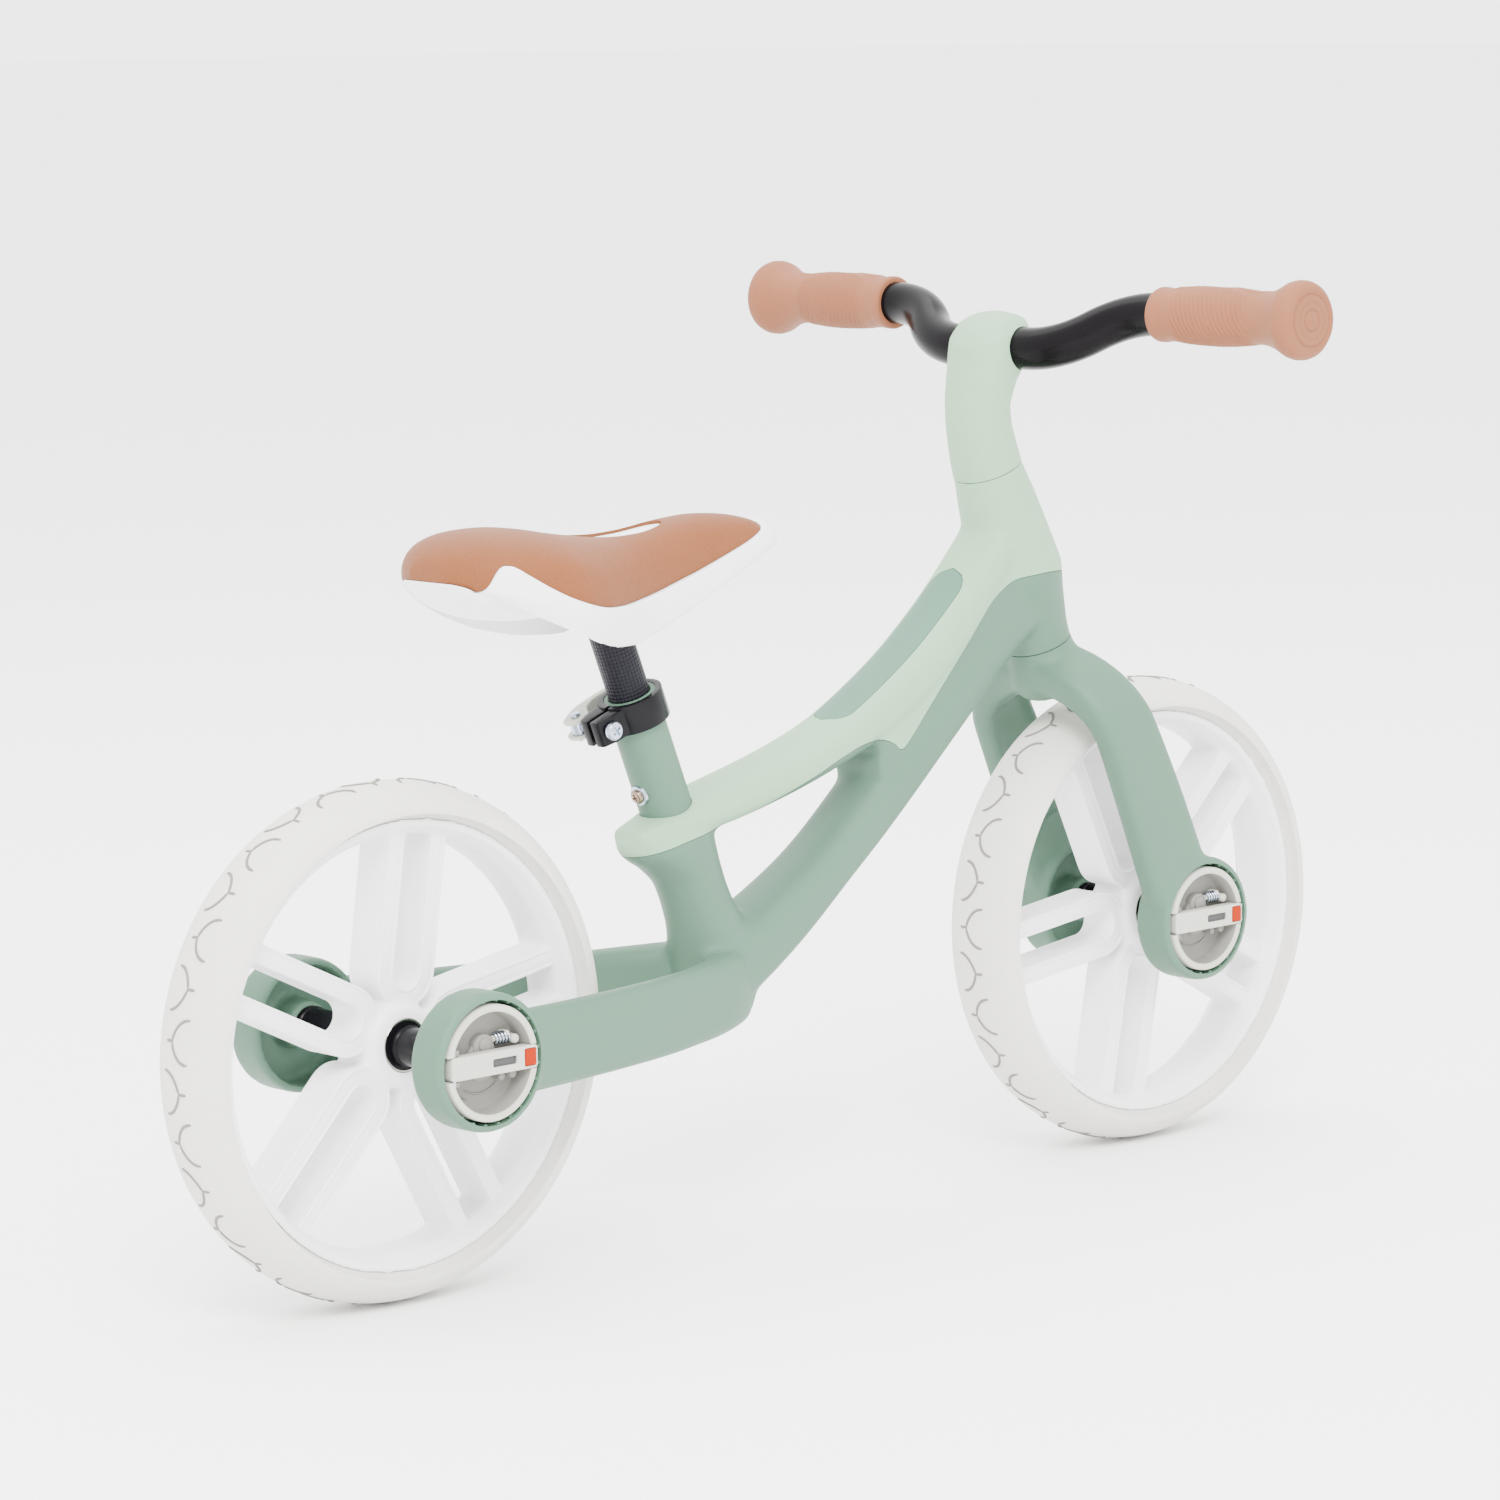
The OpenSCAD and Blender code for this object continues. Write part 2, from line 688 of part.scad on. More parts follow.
// Centre of the fork's arch at angle a, seen from the front: legs at 0 and 180
module fork_arch() {
    leg_top = crown_low - 26;
    legs = [0, 30, 60, leg_top - 14];
    arch = [for (a = [6:14:90]) [leg_y * signed_pow(cos(a), 0.95), leg_top + (crown_s - 14 - leg_top) * sin(a)]];
    half = concat([for (s = legs) [leg_y, s]], arch);
    count = len(half);
    line = concat(half, [for (k = [count - 2:-1:0]) [-half[k][0], half[k][1]]]);
    last = len(line) - 1;
    at_head() skin([
        for (k = [0:last])
            let (
                c = line[k],
                d = unit(line[min(last, k + 1)] - line[max(0, k - 1)]),
                up = min(1, c[1] / crown_s),
                q = 6 - 9 * pow(up, 2)
            )
            ring([q, c[0], c[1]], [1, 0, 0], [0, -d[1], d[0]], leg_half_w - 7 * pow(up, 2), leg_half_t + 4 * pow(up, 6), 16, 0.65)
    ]);
}

module fork() color(sage) difference() {
    union() {
        fork_arch();
        at_head() rotate_extrude() polygon([
            [0, crown_low], [17, crown_low], [22, crown_low + 8], [18.5, crown_s - 7],
            [crown_d / 2, crown_s - seam_gap / 2], [0, crown_s - seam_gap / 2]
        ]);
        housings(front_x, front_half_w);
    }
    at_head(crown_s - 18) cylinder(h = 30, r = steerer_d / 2);
    housing_cuts(front_x, front_half_w);
}

module steerer_tube() color(zinc) at_head(crown_s - 18) difference() {
    cylinder(h = head_len + 18 + 26, r = steerer_d / 2);
    translate([0, 0, -1]) cylinder(h = head_len + 60, r = steerer_d / 2 - steerer_wall);
}

bar_c = head_point(bar_s, bar_reach);

module stem() color(mint) difference() {
    at_head() skin([
        for (row = [
            [0, 0, stem_d / 2, stem_d / 2], [9, 0.5, 17.6, 17.6], [20, 1.8, 17, 17], [30, 4.5, 17, 17.2],
            [40, 10, 18, 19], [50, 18.5, 20.5, 21], [58, 24, 20.5, 22], [66, 26.5, 17.5, 20],
            [71, 27.5, 10, 13], [73, 28, 4, 6]
        ])
            ring([row[1], 0, stem_s + seam_gap / 2 + row[0]], [1, 0, 0], [0, -1, 0], row[2], row[3], 24, 0.95)
    ]);
    translate([bar_c[0], 0, bar_c[1]]) rotate([90, 0, 0]) cylinder(h = 60, r = bar_d / 2, center = true);
    at_head(stem_s - 1) cylinder(h = 27, r = steerer_d / 2);
    stem_screw_holes();
}

module stem_screw_holes() {
    for (s = [9, 21]) at_head(stem_s + s) rotate([0, 90, 0]) {
        translate([0, 0, steerer_d / 2 - 2]) cylinder(h = 20, r = 2.5);
        translate([0, 0, steerer_d / 2 + 4]) cylinder(h = 20, r = 4.5);
    }
}

module stem_screws() color(zinc) for (s = [9, 21]) at_head(stem_s + s) rotate([0, 90, 0]) {
    translate([0, 0, steerer_d / 2]) cylinder(h = 4, r = 2.5);
    difference() {
        translate([0, 0, steerer_d / 2 + 4]) cylinder(h = 2.5, r = 4.2);
        translate([0, 0, steerer_d / 2 + 5]) cylinder(h = 5, r = 2.2, $fn = 6);
    }
}

// ---- handlebar ----

// A place in the plane of the bends, y to the left and o outwards along the bend direction
function bend_point(y, o) = [bar_c[0] + o * cos(bend_lift), y, bar_c[1] + o * sin(bend_lift)];

// Left half of the bar's centre line: straight middle, two opposite bends, grip
bar_line = concat(
    [for (a = [0:bend_angle / 6:bend_angle + 0.1])
        bend_point(bar_straight + bend_r * sin(a), bend_r * (1 - cos(a)))],
    [for (a = [bend_angle * 5 / 6:-bend_angle / 6:0.1])
        bend_point(bend_y - bend_r * sin(a), bend_out - bend_r * (1 - cos(a)))],
    [bend_point(bend_y, bend_out),
     bend_point(bend_y, bend_out) + (grip_end - 4) * [sin(grip_sweep), cos(grip_sweep), 0]]
);

// Solid along the whole bar, r in radius and longer than it by extra at both ends
module bar_sweep(r, extra = 0) {
    count = len(bar_line);
    left = [for (k = [0:count - 1]) bar_line[k] + (k == count - 1 ? [0, extra, 0] : [0, 0, 0])];
    line = concat([for (k = [count - 1:-1:0]) [left[k][0], -left[k][1], left[k][2]]], left);
    last = len(line) - 1;
    across = [-sin(bend_lift), 0, cos(bend_lift)];
    skin([
        for (k = [0:last])
            let (d = unit(line[min(last, k + 1)] - line[max(0, k - 1)]), u = unit(cross(across, d)))
            ring(line[k], u, cross(u, d), r, r, 16, 1)
    ]);
}

// Start of the grip's straight, side 1 is the left
module at_grip(side) {
    mirror([0, side < 0 ? 1 : 0, 0])
        translate([bar_c[0] + bend_out * cos(bend_lift), bend_y, bar_c[1] + bend_out * sin(bend_lift)])
            rotate([0, 0, -grip_sweep]) children();
}

module handlebar() color(gloss_black) difference() {
    bar_sweep(bar_d / 2);
    bar_sweep(bar_d / 2 - bar_wall, 2);
}

module grip(side) color(tan_soft) at_grip(side) rotate([-90, 0, 0]) translate([0, 0, grip_end - grip_len])
    rotate_extrude() polygon([
        [bar_d / 2, 0], [grip_ring_d / 2 - 1, 0], [grip_ring_d / 2, 1], [grip_ring_d / 2, 4],
        [grip_ring_d / 2 - 0.7, 8], [grip_d / 2 - 0.6, 24], [grip_d / 2, 0.42 * grip_len],
        [grip_neck_d / 2 + 1, 0.58 * grip_len], [grip_neck_d / 2, grip_len - 34], [grip_neck_d / 2 + 1, grip_len - 25],
        [grip_cap_d / 2 - 3.4, grip_len - 17], [grip_cap_d / 2 - 0.6, grip_len - 12.5],
        [grip_cap_d / 2, grip_len - 9], [grip_cap_d / 2 - 0.6, grip_len - 5.5],
        [grip_cap_d / 2 - 4, grip_len - 1.4], [grip_cap_d / 2 - 9, grip_len], [0, grip_len],
        [0, grip_len - 3.9], [bar_d / 2, grip_len - 3.9]
    ]);

module grip_left() grip(1);
module grip_right() grip(-1);

// ---- wheels ----

module wheel_place(x) {
    translate([x, 0, axle_z]) rotate([90, 0, 0]) children();
}

crown_half = tyre_w / 2;
crown_depth = tyre_h - 2.6;

module tyre(x) color(rubber_pale) wheel_place(x) rotate_extrude($fn = 120) polygon(concat(
    [for (a = [-90:10:90]) [axle_z - crown_depth + crown_depth * cos(a), crown_half * sin(a)]],
    [[rim_r, rim_w / 2], [rim_r - 3, rim_w / 2 - 4], [rim_r - 3, 4 - rim_w / 2], [rim_r, -rim_w / 2]]
));

module rim(x, phase) color(chalk) wheel_place(x) difference() {
    union() {
        rotate_extrude($fn = 120) polygon([
            [rim_r, rim_w / 2], [rim_r - 3, rim_w / 2 - 4], [rim_r - 3, 4 - rim_w / 2], [rim_r, -rim_w / 2],
            [rim_r - rim_depth + 4, -rim_w / 2], [rim_r - rim_depth, -rim_w / 2 + 8],
            [rim_r - rim_depth, rim_w / 2 - 8], [rim_r - rim_depth + 4, rim_w / 2]
        ]);
        cylinder(h = hub_w - 2, d = hub_d, center = true);
        linear_extrude(spoke_depth, center = true) for (i = [0:spoke_pairs - 1]) rotate(phase + 360 * i / spoke_pairs)
            twin_spoke();
    }
    cylinder(h = hub_w + 2, r = axle_d / 2 + 3, center = true);
    for (end = [-1, 1]) translate([0, 0, end * (hub_w - hub_bearing_w) / 2])
        cylinder(h = hub_bearing_w, d = hub_bearing_d, center = true);
}

// Two legs joined by a round bow at the hub, seen along the axle
module twin_spoke() {
    bow = spoke_w / 2;
    root = hub_d / 2 - 4 + bow;
    tip = rim_r - rim_depth + 2;
    difference() {
        union() {
            translate([root, 0]) circle(r = bow);
            translate([root, -bow]) square([tip - root, spoke_w]);
        }
        translate([root, 0]) circle(r = bow - spoke_leg);
        translate([root, spoke_leg - bow]) square([tip, spoke_w - 2 * spoke_leg]);
    }
}

module hub_bearings(x) color(zinc) wheel_place(x) for (end = [-1, 1])
    translate([0, 0, end * (hub_w - hub_bearing_w) / 2]) difference() {
        cylinder(h = hub_bearing_w, d = hub_bearing_d, center = true);
        cylinder(h = hub_bearing_w + 2, r = axle_d / 2 + running_gap, center = true);
    }

module axle(x, half_w) color(zinc) {
    along_axle(x, -half_w + axle_end_depth, half_w - 0.5, axle_d / 2);
    along_axle(x, half_w - 3, half_w - 0.5, axle_head_d / 2);
}

module spacers(x, inner) color(gloss_black) difference() {
    mirrored_y() along_axle(x, hub_w / 2 + face_gap, inner, spacer_d / 2);
    along_axle(x, -inner - 1, inner + 1, axle_d / 2);
}

// ---- release dials ----

hinge_x = -(dial_d / 2 - 5.5);
lever_tip = dial_d / 2 - 0.6;
lever_top = 0.6;
pin_r = 1.3;
pin_z = lever_top - lever_t / 2;
button_x = lever_tip - 1.4 - button_len / 2;
lever_slot = lever_w + 2 * face_gap;

module dial(x, half_w) color(dial_grey) at_right(x, half_w) difference() {
    union() {
        difference() {
            translate([0, 0, -dial_depth]) cylinder(h = dial_depth, d = dial_d);
            translate([0, 0, 3 - dial_depth]) cylinder(h = dial_depth, r = dial_d / 2 - dial_rim);
        }
        translate([0, 0, -dial_depth]) cylinder(h = dial_boss_h, r = dial_boss_r);
        for (end = [-1, 1]) translate([hinge_x, end * (lever_w / 2 + face_gap + 1.5), -dial_depth / 2])
            cube([6, 3, dial_depth], center = true);
    }
    translate([-dial_d, -lever_slot / 2, lever_top - lever_t - face_gap - 1]) cube([2 * dial_d, lever_slot, 20]);
    translate([0, 0, -dial_depth - 1]) cylinder(h = 20, r = axle_d / 2 + running_gap);
    translate([hinge_x, 0, pin_z]) rotate([90, 0, 0]) cylinder(h = lever_w + 8, r = pin_r, center = true);
}

module dial_lever(x, half_w) color(dial_grey * 1.1) at_right(x, half_w) difference() {
    union() {
        translate([hinge_x, -lever_w / 2, lever_top - lever_t]) cube([lever_tip - hinge_x, lever_w, lever_t]);
        translate([hinge_x, 0, pin_z]) rotate([90, 0, 0]) cylinder(h = lever_w, r = lever_t / 2, center = true);
    }
    translate([hinge_x, 0, pin_z]) rotate([90, 0, 0]) cylinder(h = lever_w + 2, r = pin_r + running_gap, center = true);
    translate([button_x, 0, lever_top - 5.5 + 10]) cube([button_len + 0.6, button_w + 0.6, 20], center = true);
    translate([button_x - 12.5, 0, lever_top]) cube([9.5, 4, 5], center = true);
}

module lever_pin(x, half_w) color(zinc) at_right(x, half_w) translate([hinge_x, 0, pin_z])
    rotate([90, 0, 0]) cylinder(h = lever_w + 6, r = pin_r, center = true);

module dial_button(x, half_w) color([0.98, 0.42, 0.25]) at_right(x, half_w)
    translate([button_x, 0, lever_top - 1.4]) cube([button_len, button_w, 4.2], center = true);

latch_x = 9;
latch_y = 9.5;

// Torsion spring of the latch, as its outer shape
module dial_spring(x, half_w) color(zinc) at_right(x, half_w) translate([latch_x, latch_y, 3 - dial_depth])
    difference() {
        cylinder(h = 3.5, r = 3.6);
        translate([0, 0, -1]) cylinder(h = 6, r = 2.4);
    }

module dial_latch(x, half_w) color(zinc) at_right(x, half_w) {
    translate([latch_x + 7, latch_y - 1.5, 3 - dial_depth]) cylinder(h = 6, r = 1.8);
    translate([latch_x, latch_y, 3 - dial_depth]) cylinder(h = 4.2, r = 1.6);
}

module rear_tyre() tyre(rear_x);
module rear_rim() rim(rear_x, 82);
module rear_hub_bearings() hub_bearings(rear_x);
module rear_axle() axle(rear_x, rear_half_w);
module rear_spacers() spacers(rear_x, rear_inner);
module rear_dial() dial(rear_x, rear_half_w);
module rear_dial_lever() dial_lever(rear_x, rear_half_w);
module rear_lever_pin() lever_pin(rear_x, rear_half_w);
module rear_dial_button() dial_button(rear_x, rear_half_w);
module rear_dial_spring() dial_spring(rear_x, rear_half_w);
module rear_dial_latch() dial_latch(rear_x, rear_half_w);
module front_tyre() tyre(front_x);
module front_rim() rim(front_x, 43);
module front_hub_bearings() hub_bearings(front_x);
module front_axle() axle(front_x, front_half_w);
module front_spacers() spacers(front_x, front_inner);
module front_dial() dial(front_x, front_half_w);
module front_dial_lever() dial_lever(front_x, front_half_w);
module front_lever_pin() lever_pin(front_x, front_half_w);
module front_dial_button() dial_button(front_x, front_half_w);
module front_dial_spring() dial_spring(front_x, front_half_w);
module front_dial_latch() dial_latch(front_x, front_half_w);

main_frame();
top_cover();
badge_strip();
seat_tube();
seat_tube_screw();
seat_tube_washer();
head_bearing_lower();
head_bearing_upper();
seat_collar();
collar_bolt();
collar_barrel();
collar_lever();
collar_lever_pins();
seat_post();
saddle_bracket();
saddle_bolts();
saddle_shell();
saddle_pad();
fork();
steerer_tube();
stem();
stem_screws();
handlebar();
grip_left();
grip_right();
rear_tyre();
rear_rim();
rear_hub_bearings();
rear_axle();
rear_spacers();
rear_dial();
rear_dial_lever();
rear_lever_pin();
rear_dial_button();
rear_dial_spring();
rear_dial_latch();
front_tyre();
front_rim();
front_hub_bearings();
front_axle();
front_spacers();
front_dial();
front_dial_lever();
front_lever_pin();
front_dial_button();
front_dial_spring();
front_dial_latch();
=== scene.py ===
import math
import bmesh
import bpy
from mathutils import Matrix, Vector


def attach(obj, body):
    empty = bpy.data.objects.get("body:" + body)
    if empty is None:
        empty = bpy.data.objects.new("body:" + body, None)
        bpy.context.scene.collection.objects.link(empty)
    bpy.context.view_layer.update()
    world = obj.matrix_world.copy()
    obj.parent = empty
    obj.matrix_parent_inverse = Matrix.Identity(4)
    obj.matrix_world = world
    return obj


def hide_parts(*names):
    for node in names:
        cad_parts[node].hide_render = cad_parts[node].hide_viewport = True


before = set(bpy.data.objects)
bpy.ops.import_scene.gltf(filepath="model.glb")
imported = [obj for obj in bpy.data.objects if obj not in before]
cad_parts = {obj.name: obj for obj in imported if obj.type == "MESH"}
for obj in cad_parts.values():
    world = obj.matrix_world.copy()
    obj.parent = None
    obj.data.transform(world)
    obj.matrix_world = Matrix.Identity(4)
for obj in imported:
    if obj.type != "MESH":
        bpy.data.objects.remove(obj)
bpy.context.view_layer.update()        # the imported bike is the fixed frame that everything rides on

scene = bpy.context.scene
mm = 0.001


camera = dict(
    place=(-1.8365, -1.9349, 0.6052),
    target=(-0.1430, -0.1303, 0.2638),
    lens=128.8,
    roll=-0.70,
)


def placeCamera():
    data = bpy.data.cameras.new("camera")
    data.lens = camera["lens"]
    data.sensor_width = 36
    data.clip_end = 200
    obj = bpy.data.objects.new("camera", data)
    scene.collection.objects.link(obj)
    obj.location = camera["place"]
    look = (Vector(camera["target"]) - obj.location).to_track_quat("-Z", "Y")
    obj.rotation_euler = (look.to_matrix() @ Matrix.Rotation(math.radians(camera["roll"]), 3, "Z")).to_euler()
    scene.camera = obj


placeCamera()
print("camera placed")


bike = dict(
    axleHeight=125, rearX=-259, frontX=259, tyreWidth=46, tyreHeight=16.6, rimWidth=35, rimDepth=9,
    hubWidth=30, hubRadius=21, headTilt=21.6, forkOffset=11.6, crown=161.3, stemSeam=261.9,
    seatTilt=21.5, seatX=-42, seatTubeTop=161.5, seatTubeRadius=13.25, postRadius=10.5,
    slotX=-81, slotHalf=31, rearHalf=78.3, frontHalf=54.8, housingDepth=22, housingRadius=33,
    recessRadius=29.5, recessDepth=14.3, saddleS=192.5, seamHalf=0.25,
)
axleZ = bike["axleHeight"]
headX = bike["frontX"] - bike["forkOffset"] / math.cos(math.radians(bike["headTilt"]))


upright = Matrix.Identity(4)
# a slab's x, y become the bike's x, z; an axle lies across it
onSide = Matrix.Rotation(math.pi / 2, 4, "X")


def shifted(x, y, z):
    return Matrix.Translation((x * mm, y * mm, z * mm))


def tiltedPlace(x, tilt, along):            # local Z runs up the leaning axis from axle height
    turn = Matrix.Rotation(-math.radians(tilt), 4, "Y")
    return shifted(x, 0, axleZ) @ turn @ shifted(0, 0, along)


def headPlace(along=0.0):
    return tiltedPlace(headX, bike["headTilt"], along)


def seatPlace(along=0.0):
    return tiltedPlace(bike["seatX"], bike["seatTilt"], along)


def headPoint(along, ahead=0.0):
    return headPlace() @ Vector((ahead * mm, 0, along * mm))


def seatPoint(along, ahead=0.0):
    return seatPlace() @ Vector((ahead * mm, 0, along * mm))


def axlePlace(x, half, side):               # local Z points away from the bike; local Y is up on the right
    turn = Matrix.Rotation(math.radians(90 if side < 0 else -90), 4, "X")
    return Matrix.Translation((x * mm, side * half * mm, axleZ * mm)) @ turn


finishes = dict(
    sage=dict(colour=(0.068, 0.132, 0.090), rough=0.50, grain=900, depth=0.05, coat=0.0),
    mint=dict(colour=(0.207, 0.341, 0.210), rough=0.50, grain=900, depth=0.05, coat=0.0),
    badge=dict(colour=(0.062, 0.143, 0.097), rough=0.42, grain=700, depth=0.02, coat=0.0),
    white=dict(colour=(0.76, 0.76, 0.76), rough=0.34, grain=500, depth=0.03, coat=0.1),
    saddleWhite=dict(colour=(0.80, 0.80, 0.80), rough=0.38, grain=600, depth=0.03, coat=0.1),
    dial=dict(colour=(0.180, 0.174, 0.156), rough=0.50, grain=1600, depth=0.16, coat=0.0),
    lever=dict(colour=(0.420, 0.417, 0.369), rough=0.42, grain=900, depth=0.05, coat=0.0),
    button=dict(colour=(0.270, 0.016, 0.0005), rough=0.40, grain=700, depth=0.02, coat=0.0, specular=0.05),
    # painted shade: this flat dark grey is laid in the lever's slot and stands in for the shade inside it
    slotShade=dict(colour=(0.05, 0.05, 0.05), rough=0.6, grain=900, depth=0.05, coat=0.0),
    blackPlastic=dict(colour=(0.004, 0.004, 0.005), rough=0.22, grain=400, depth=0.02, coat=0.0,
                      specular=0.08),
    collarBlack=dict(colour=(0.004, 0.004, 0.005), rough=0.26, grain=500, depth=0.03, coat=0.0,
                     specular=0.10),
)


def newMaterial(name):
    mat = bpy.data.materials.new(name)
    mat.use_nodes = True
    nodes, links = mat.node_tree.nodes, mat.node_tree.links
    return mat, nodes, links, nodes["Principled BSDF"]


def objectCoords(nodes):
    return nodes.new("ShaderNodeTexCoord").outputs["Object"]


def noiseTexture(nodes, links, coords, scale, detail):
    noise = nodes.new("ShaderNodeTexNoise")
    noise.inputs["Scale"].default_value = scale
    noise.inputs["Detail"].default_value = detail
    noise.inputs["Roughness"].default_value = 0.55
    links.new(coords, noise.inputs["Vector"])
    return noise.outputs["Fac"]


def rampOf(nodes, links, value, stops):
    ramp = nodes.new("ShaderNodeValToRGB")
    elements = ramp.color_ramp.elements
    while len(elements) < len(stops):
        elements.new(0.5)
    for element, (at, colour) in zip(elements, stops):
        element.position = at
        element.color = (*colour, 1)
    links.new(value, ramp.inputs["Fac"])
    return ramp.outputs["Color"]


def mapped(nodes, links, value, low, high, fromLow=0.0, fromHigh=1.0):
    node = nodes.new("ShaderNodeMapRange")
    node.inputs["From Min"].default_value = fromLow
    node.inputs["From Max"].default_value = fromHigh
    node.inputs["To Min"].default_value = low
    node.inputs["To Max"].default_value = high
    links.new(value, node.inputs["Value"])
    return node.outputs["Result"]


def bumpOf(nodes, links, height, strength, distance, below=None):
    node = nodes.new("ShaderNodeBump")
    node.inputs["Strength"].default_value = strength
    node.inputs["Distance"].default_value = distance
    links.new(height, node.inputs["Height"])
    if below is not None:
        links.new(below, node.inputs["Normal"])
    return node.outputs["Normal"]


def shade(colour, factor):
    return tuple(min(1, c * factor) for c in colour)


# Moulded plastic: a little cloudiness in the colour, fine spark-eroded grain in the surface
def moulded(name, colour, rough, grain, depth, coat, specular=0.2):
    mat, nodes, links, shader = newMaterial(name)
    coords = objectCoords(nodes)
    cloud = noiseTexture(nodes, links, coords, 14, 4)
    links.new(rampOf(nodes, links, cloud, [(0.3, shade(colour, 0.965)), (0.7, shade(colour, 1.03))]),
              shader.inputs["Base Color"])
    fine = noiseTexture(nodes, links, coords, grain, 2)
    links.new(mapped(nodes, links, cloud, rough - 0.05, rough + 0.05), shader.inputs["Roughness"])
    links.new(bumpOf(nodes, links, fine, depth, 0.0004), shader.inputs["Normal"])
    shader.inputs["Specular IOR Level"].default_value = specular
    shader.inputs["Coat Weight"].default_value = coat
    shader.inputs["Coat Roughness"].default_value = 0.25
    return mat


materials = {name: moulded(name, **spec) for name, spec in finishes.items()}


# Drawn metal: patchy polish and long fine scratches
def metalFinish(name, colour, rough):
    mat, nodes, links, shader = newMaterial(name)
    coords = objectCoords(nodes)
    cloud = noiseTexture(nodes, links, coords, 60, 5)
    links.new(rampOf(nodes, links, cloud, [(0.25, shade(colour, 0.85)), (0.75, shade(colour, 1.1))]),
              shader.inputs["Base Color"])
    links.new(mapped(nodes, links, cloud, rough - 0.07, rough + 0.09), shader.inputs["Roughness"])
    streak = nodes.new("ShaderNodeTexNoise")
    stretch = nodes.new("ShaderNodeMapping")
    stretch.inputs["Scale"].default_value = (1, 40, 1)
    links.new(coords, stretch.inputs["Vector"])
    links.new(stretch.outputs["Vector"], streak.inputs["Vector"])
    streak.inputs["Scale"].default_value = 60
    links.new(bumpOf(nodes, links, streak.outputs["Fac"], 0.12, 0.0003), shader.inputs["Normal"])
    shader.inputs["Metallic"].default_value = 1.0
    return mat


materials["zinc"] = metalFinish("zinc", (0.38, 0.43, 0.52), 0.26)
materials["bronze"] = metalFinish("bronze", (0.26, 0.19, 0.14), 0.32)
materials["steel"] = metalFinish("steel", (0.27, 0.26, 0.24), 0.22)
materials["axleSteel"] = metalFinish("axleSteel", (0.30, 0.30, 0.30), 0.34)


# Deep black enamel with slight orange peel
def enamel(name, colour, rough):
    mat, nodes, links, shader = newMaterial(name)
    coords = objectCoords(nodes)
    peel = noiseTexture(nodes, links, coords, 220, 2)
    cloud = noiseTexture(nodes, links, coords, 20, 3)
    links.new(rampOf(nodes, links, cloud, [(0.3, shade(colour, 0.8)), (0.7, shade(colour, 1.25))]),
              shader.inputs["Base Color"])
    links.new(mapped(nodes, links, cloud, rough - 0.03, rough + 0.05), shader.inputs["Roughness"])
    links.new(bumpOf(nodes, links, peel, 0.10, 0.0002), shader.inputs["Normal"])
    shader.inputs["Specular IOR Level"].default_value = 0.06
    return mat


materials["enamel"] = enamel("barEnamel", (0.003, 0.0025, 0.003), 0.24)


def mathNode(nodes, links, kind, a, b=None):
    node = nodes.new("ShaderNodeMath")
    node.operation = kind
    for socket, value in zip(node.inputs, (a, b)):
        if value is None:
            continue
        if isinstance(value, (int, float)):
            socket.default_value = value
        else:
            links.new(value, socket)
    return node.outputs[0]


# Black post with a fine diamond weave wound round it
post = dict(colour=(0.008, 0.0075, 0.011), pitch=1.9, rough=0.42)


def wovenPost():
    mat, nodes, links, shader = newMaterial("wovenPost")
    turn = nodes.new("ShaderNodeMapping")
    turn.vector_type = "TEXTURE"
    turn.inputs["Location"].default_value = (bike["seatX"] * mm, 0, axleZ * mm)
    turn.inputs["Rotation"].default_value = (0, -math.radians(bike["seatTilt"]), 0)
    links.new(objectCoords(nodes), turn.inputs["Vector"])
    split = nodes.new("ShaderNodeSeparateXYZ")
    links.new(turn.outputs["Vector"], split.inputs["Vector"])
    around = mathNode(nodes, links, "MULTIPLY",
                      mathNode(nodes, links, "ARCTAN2", split.outputs["Y"], split.outputs["X"]), 12.0)
    climb = mathNode(nodes, links, "MULTIPLY", split.outputs["Z"], 2 * math.pi / (post["pitch"] * mm) * 0.5)
    one = mathNode(nodes, links, "SINE",
                   mathNode(nodes, links, "ADD", climb, mathNode(nodes, links, "MULTIPLY", around, 1.5)))
    two = mathNode(nodes, links, "SINE",
                   mathNode(nodes, links, "SUBTRACT", climb, mathNode(nodes, links, "MULTIPLY", around, 1.5)))
    weave = mathNode(nodes, links, "MULTIPLY", one, two)
    colour = post["colour"]
    links.new(rampOf(nodes, links, mapped(nodes, links, weave, 0, 1, -1, 1),
                     [(0.2, shade(colour, 0.55)), (0.8, shade(colour, 1.5))]), shader.inputs["Base Color"])
    links.new(bumpOf(nodes, links, weave, 0.5, 0.0003), shader.inputs["Normal"])
    shader.inputs["Roughness"].default_value = post["rough"]
    shader.inputs["Specular IOR Level"].default_value = 0.09
    return mat


materials["post"] = wovenPost()


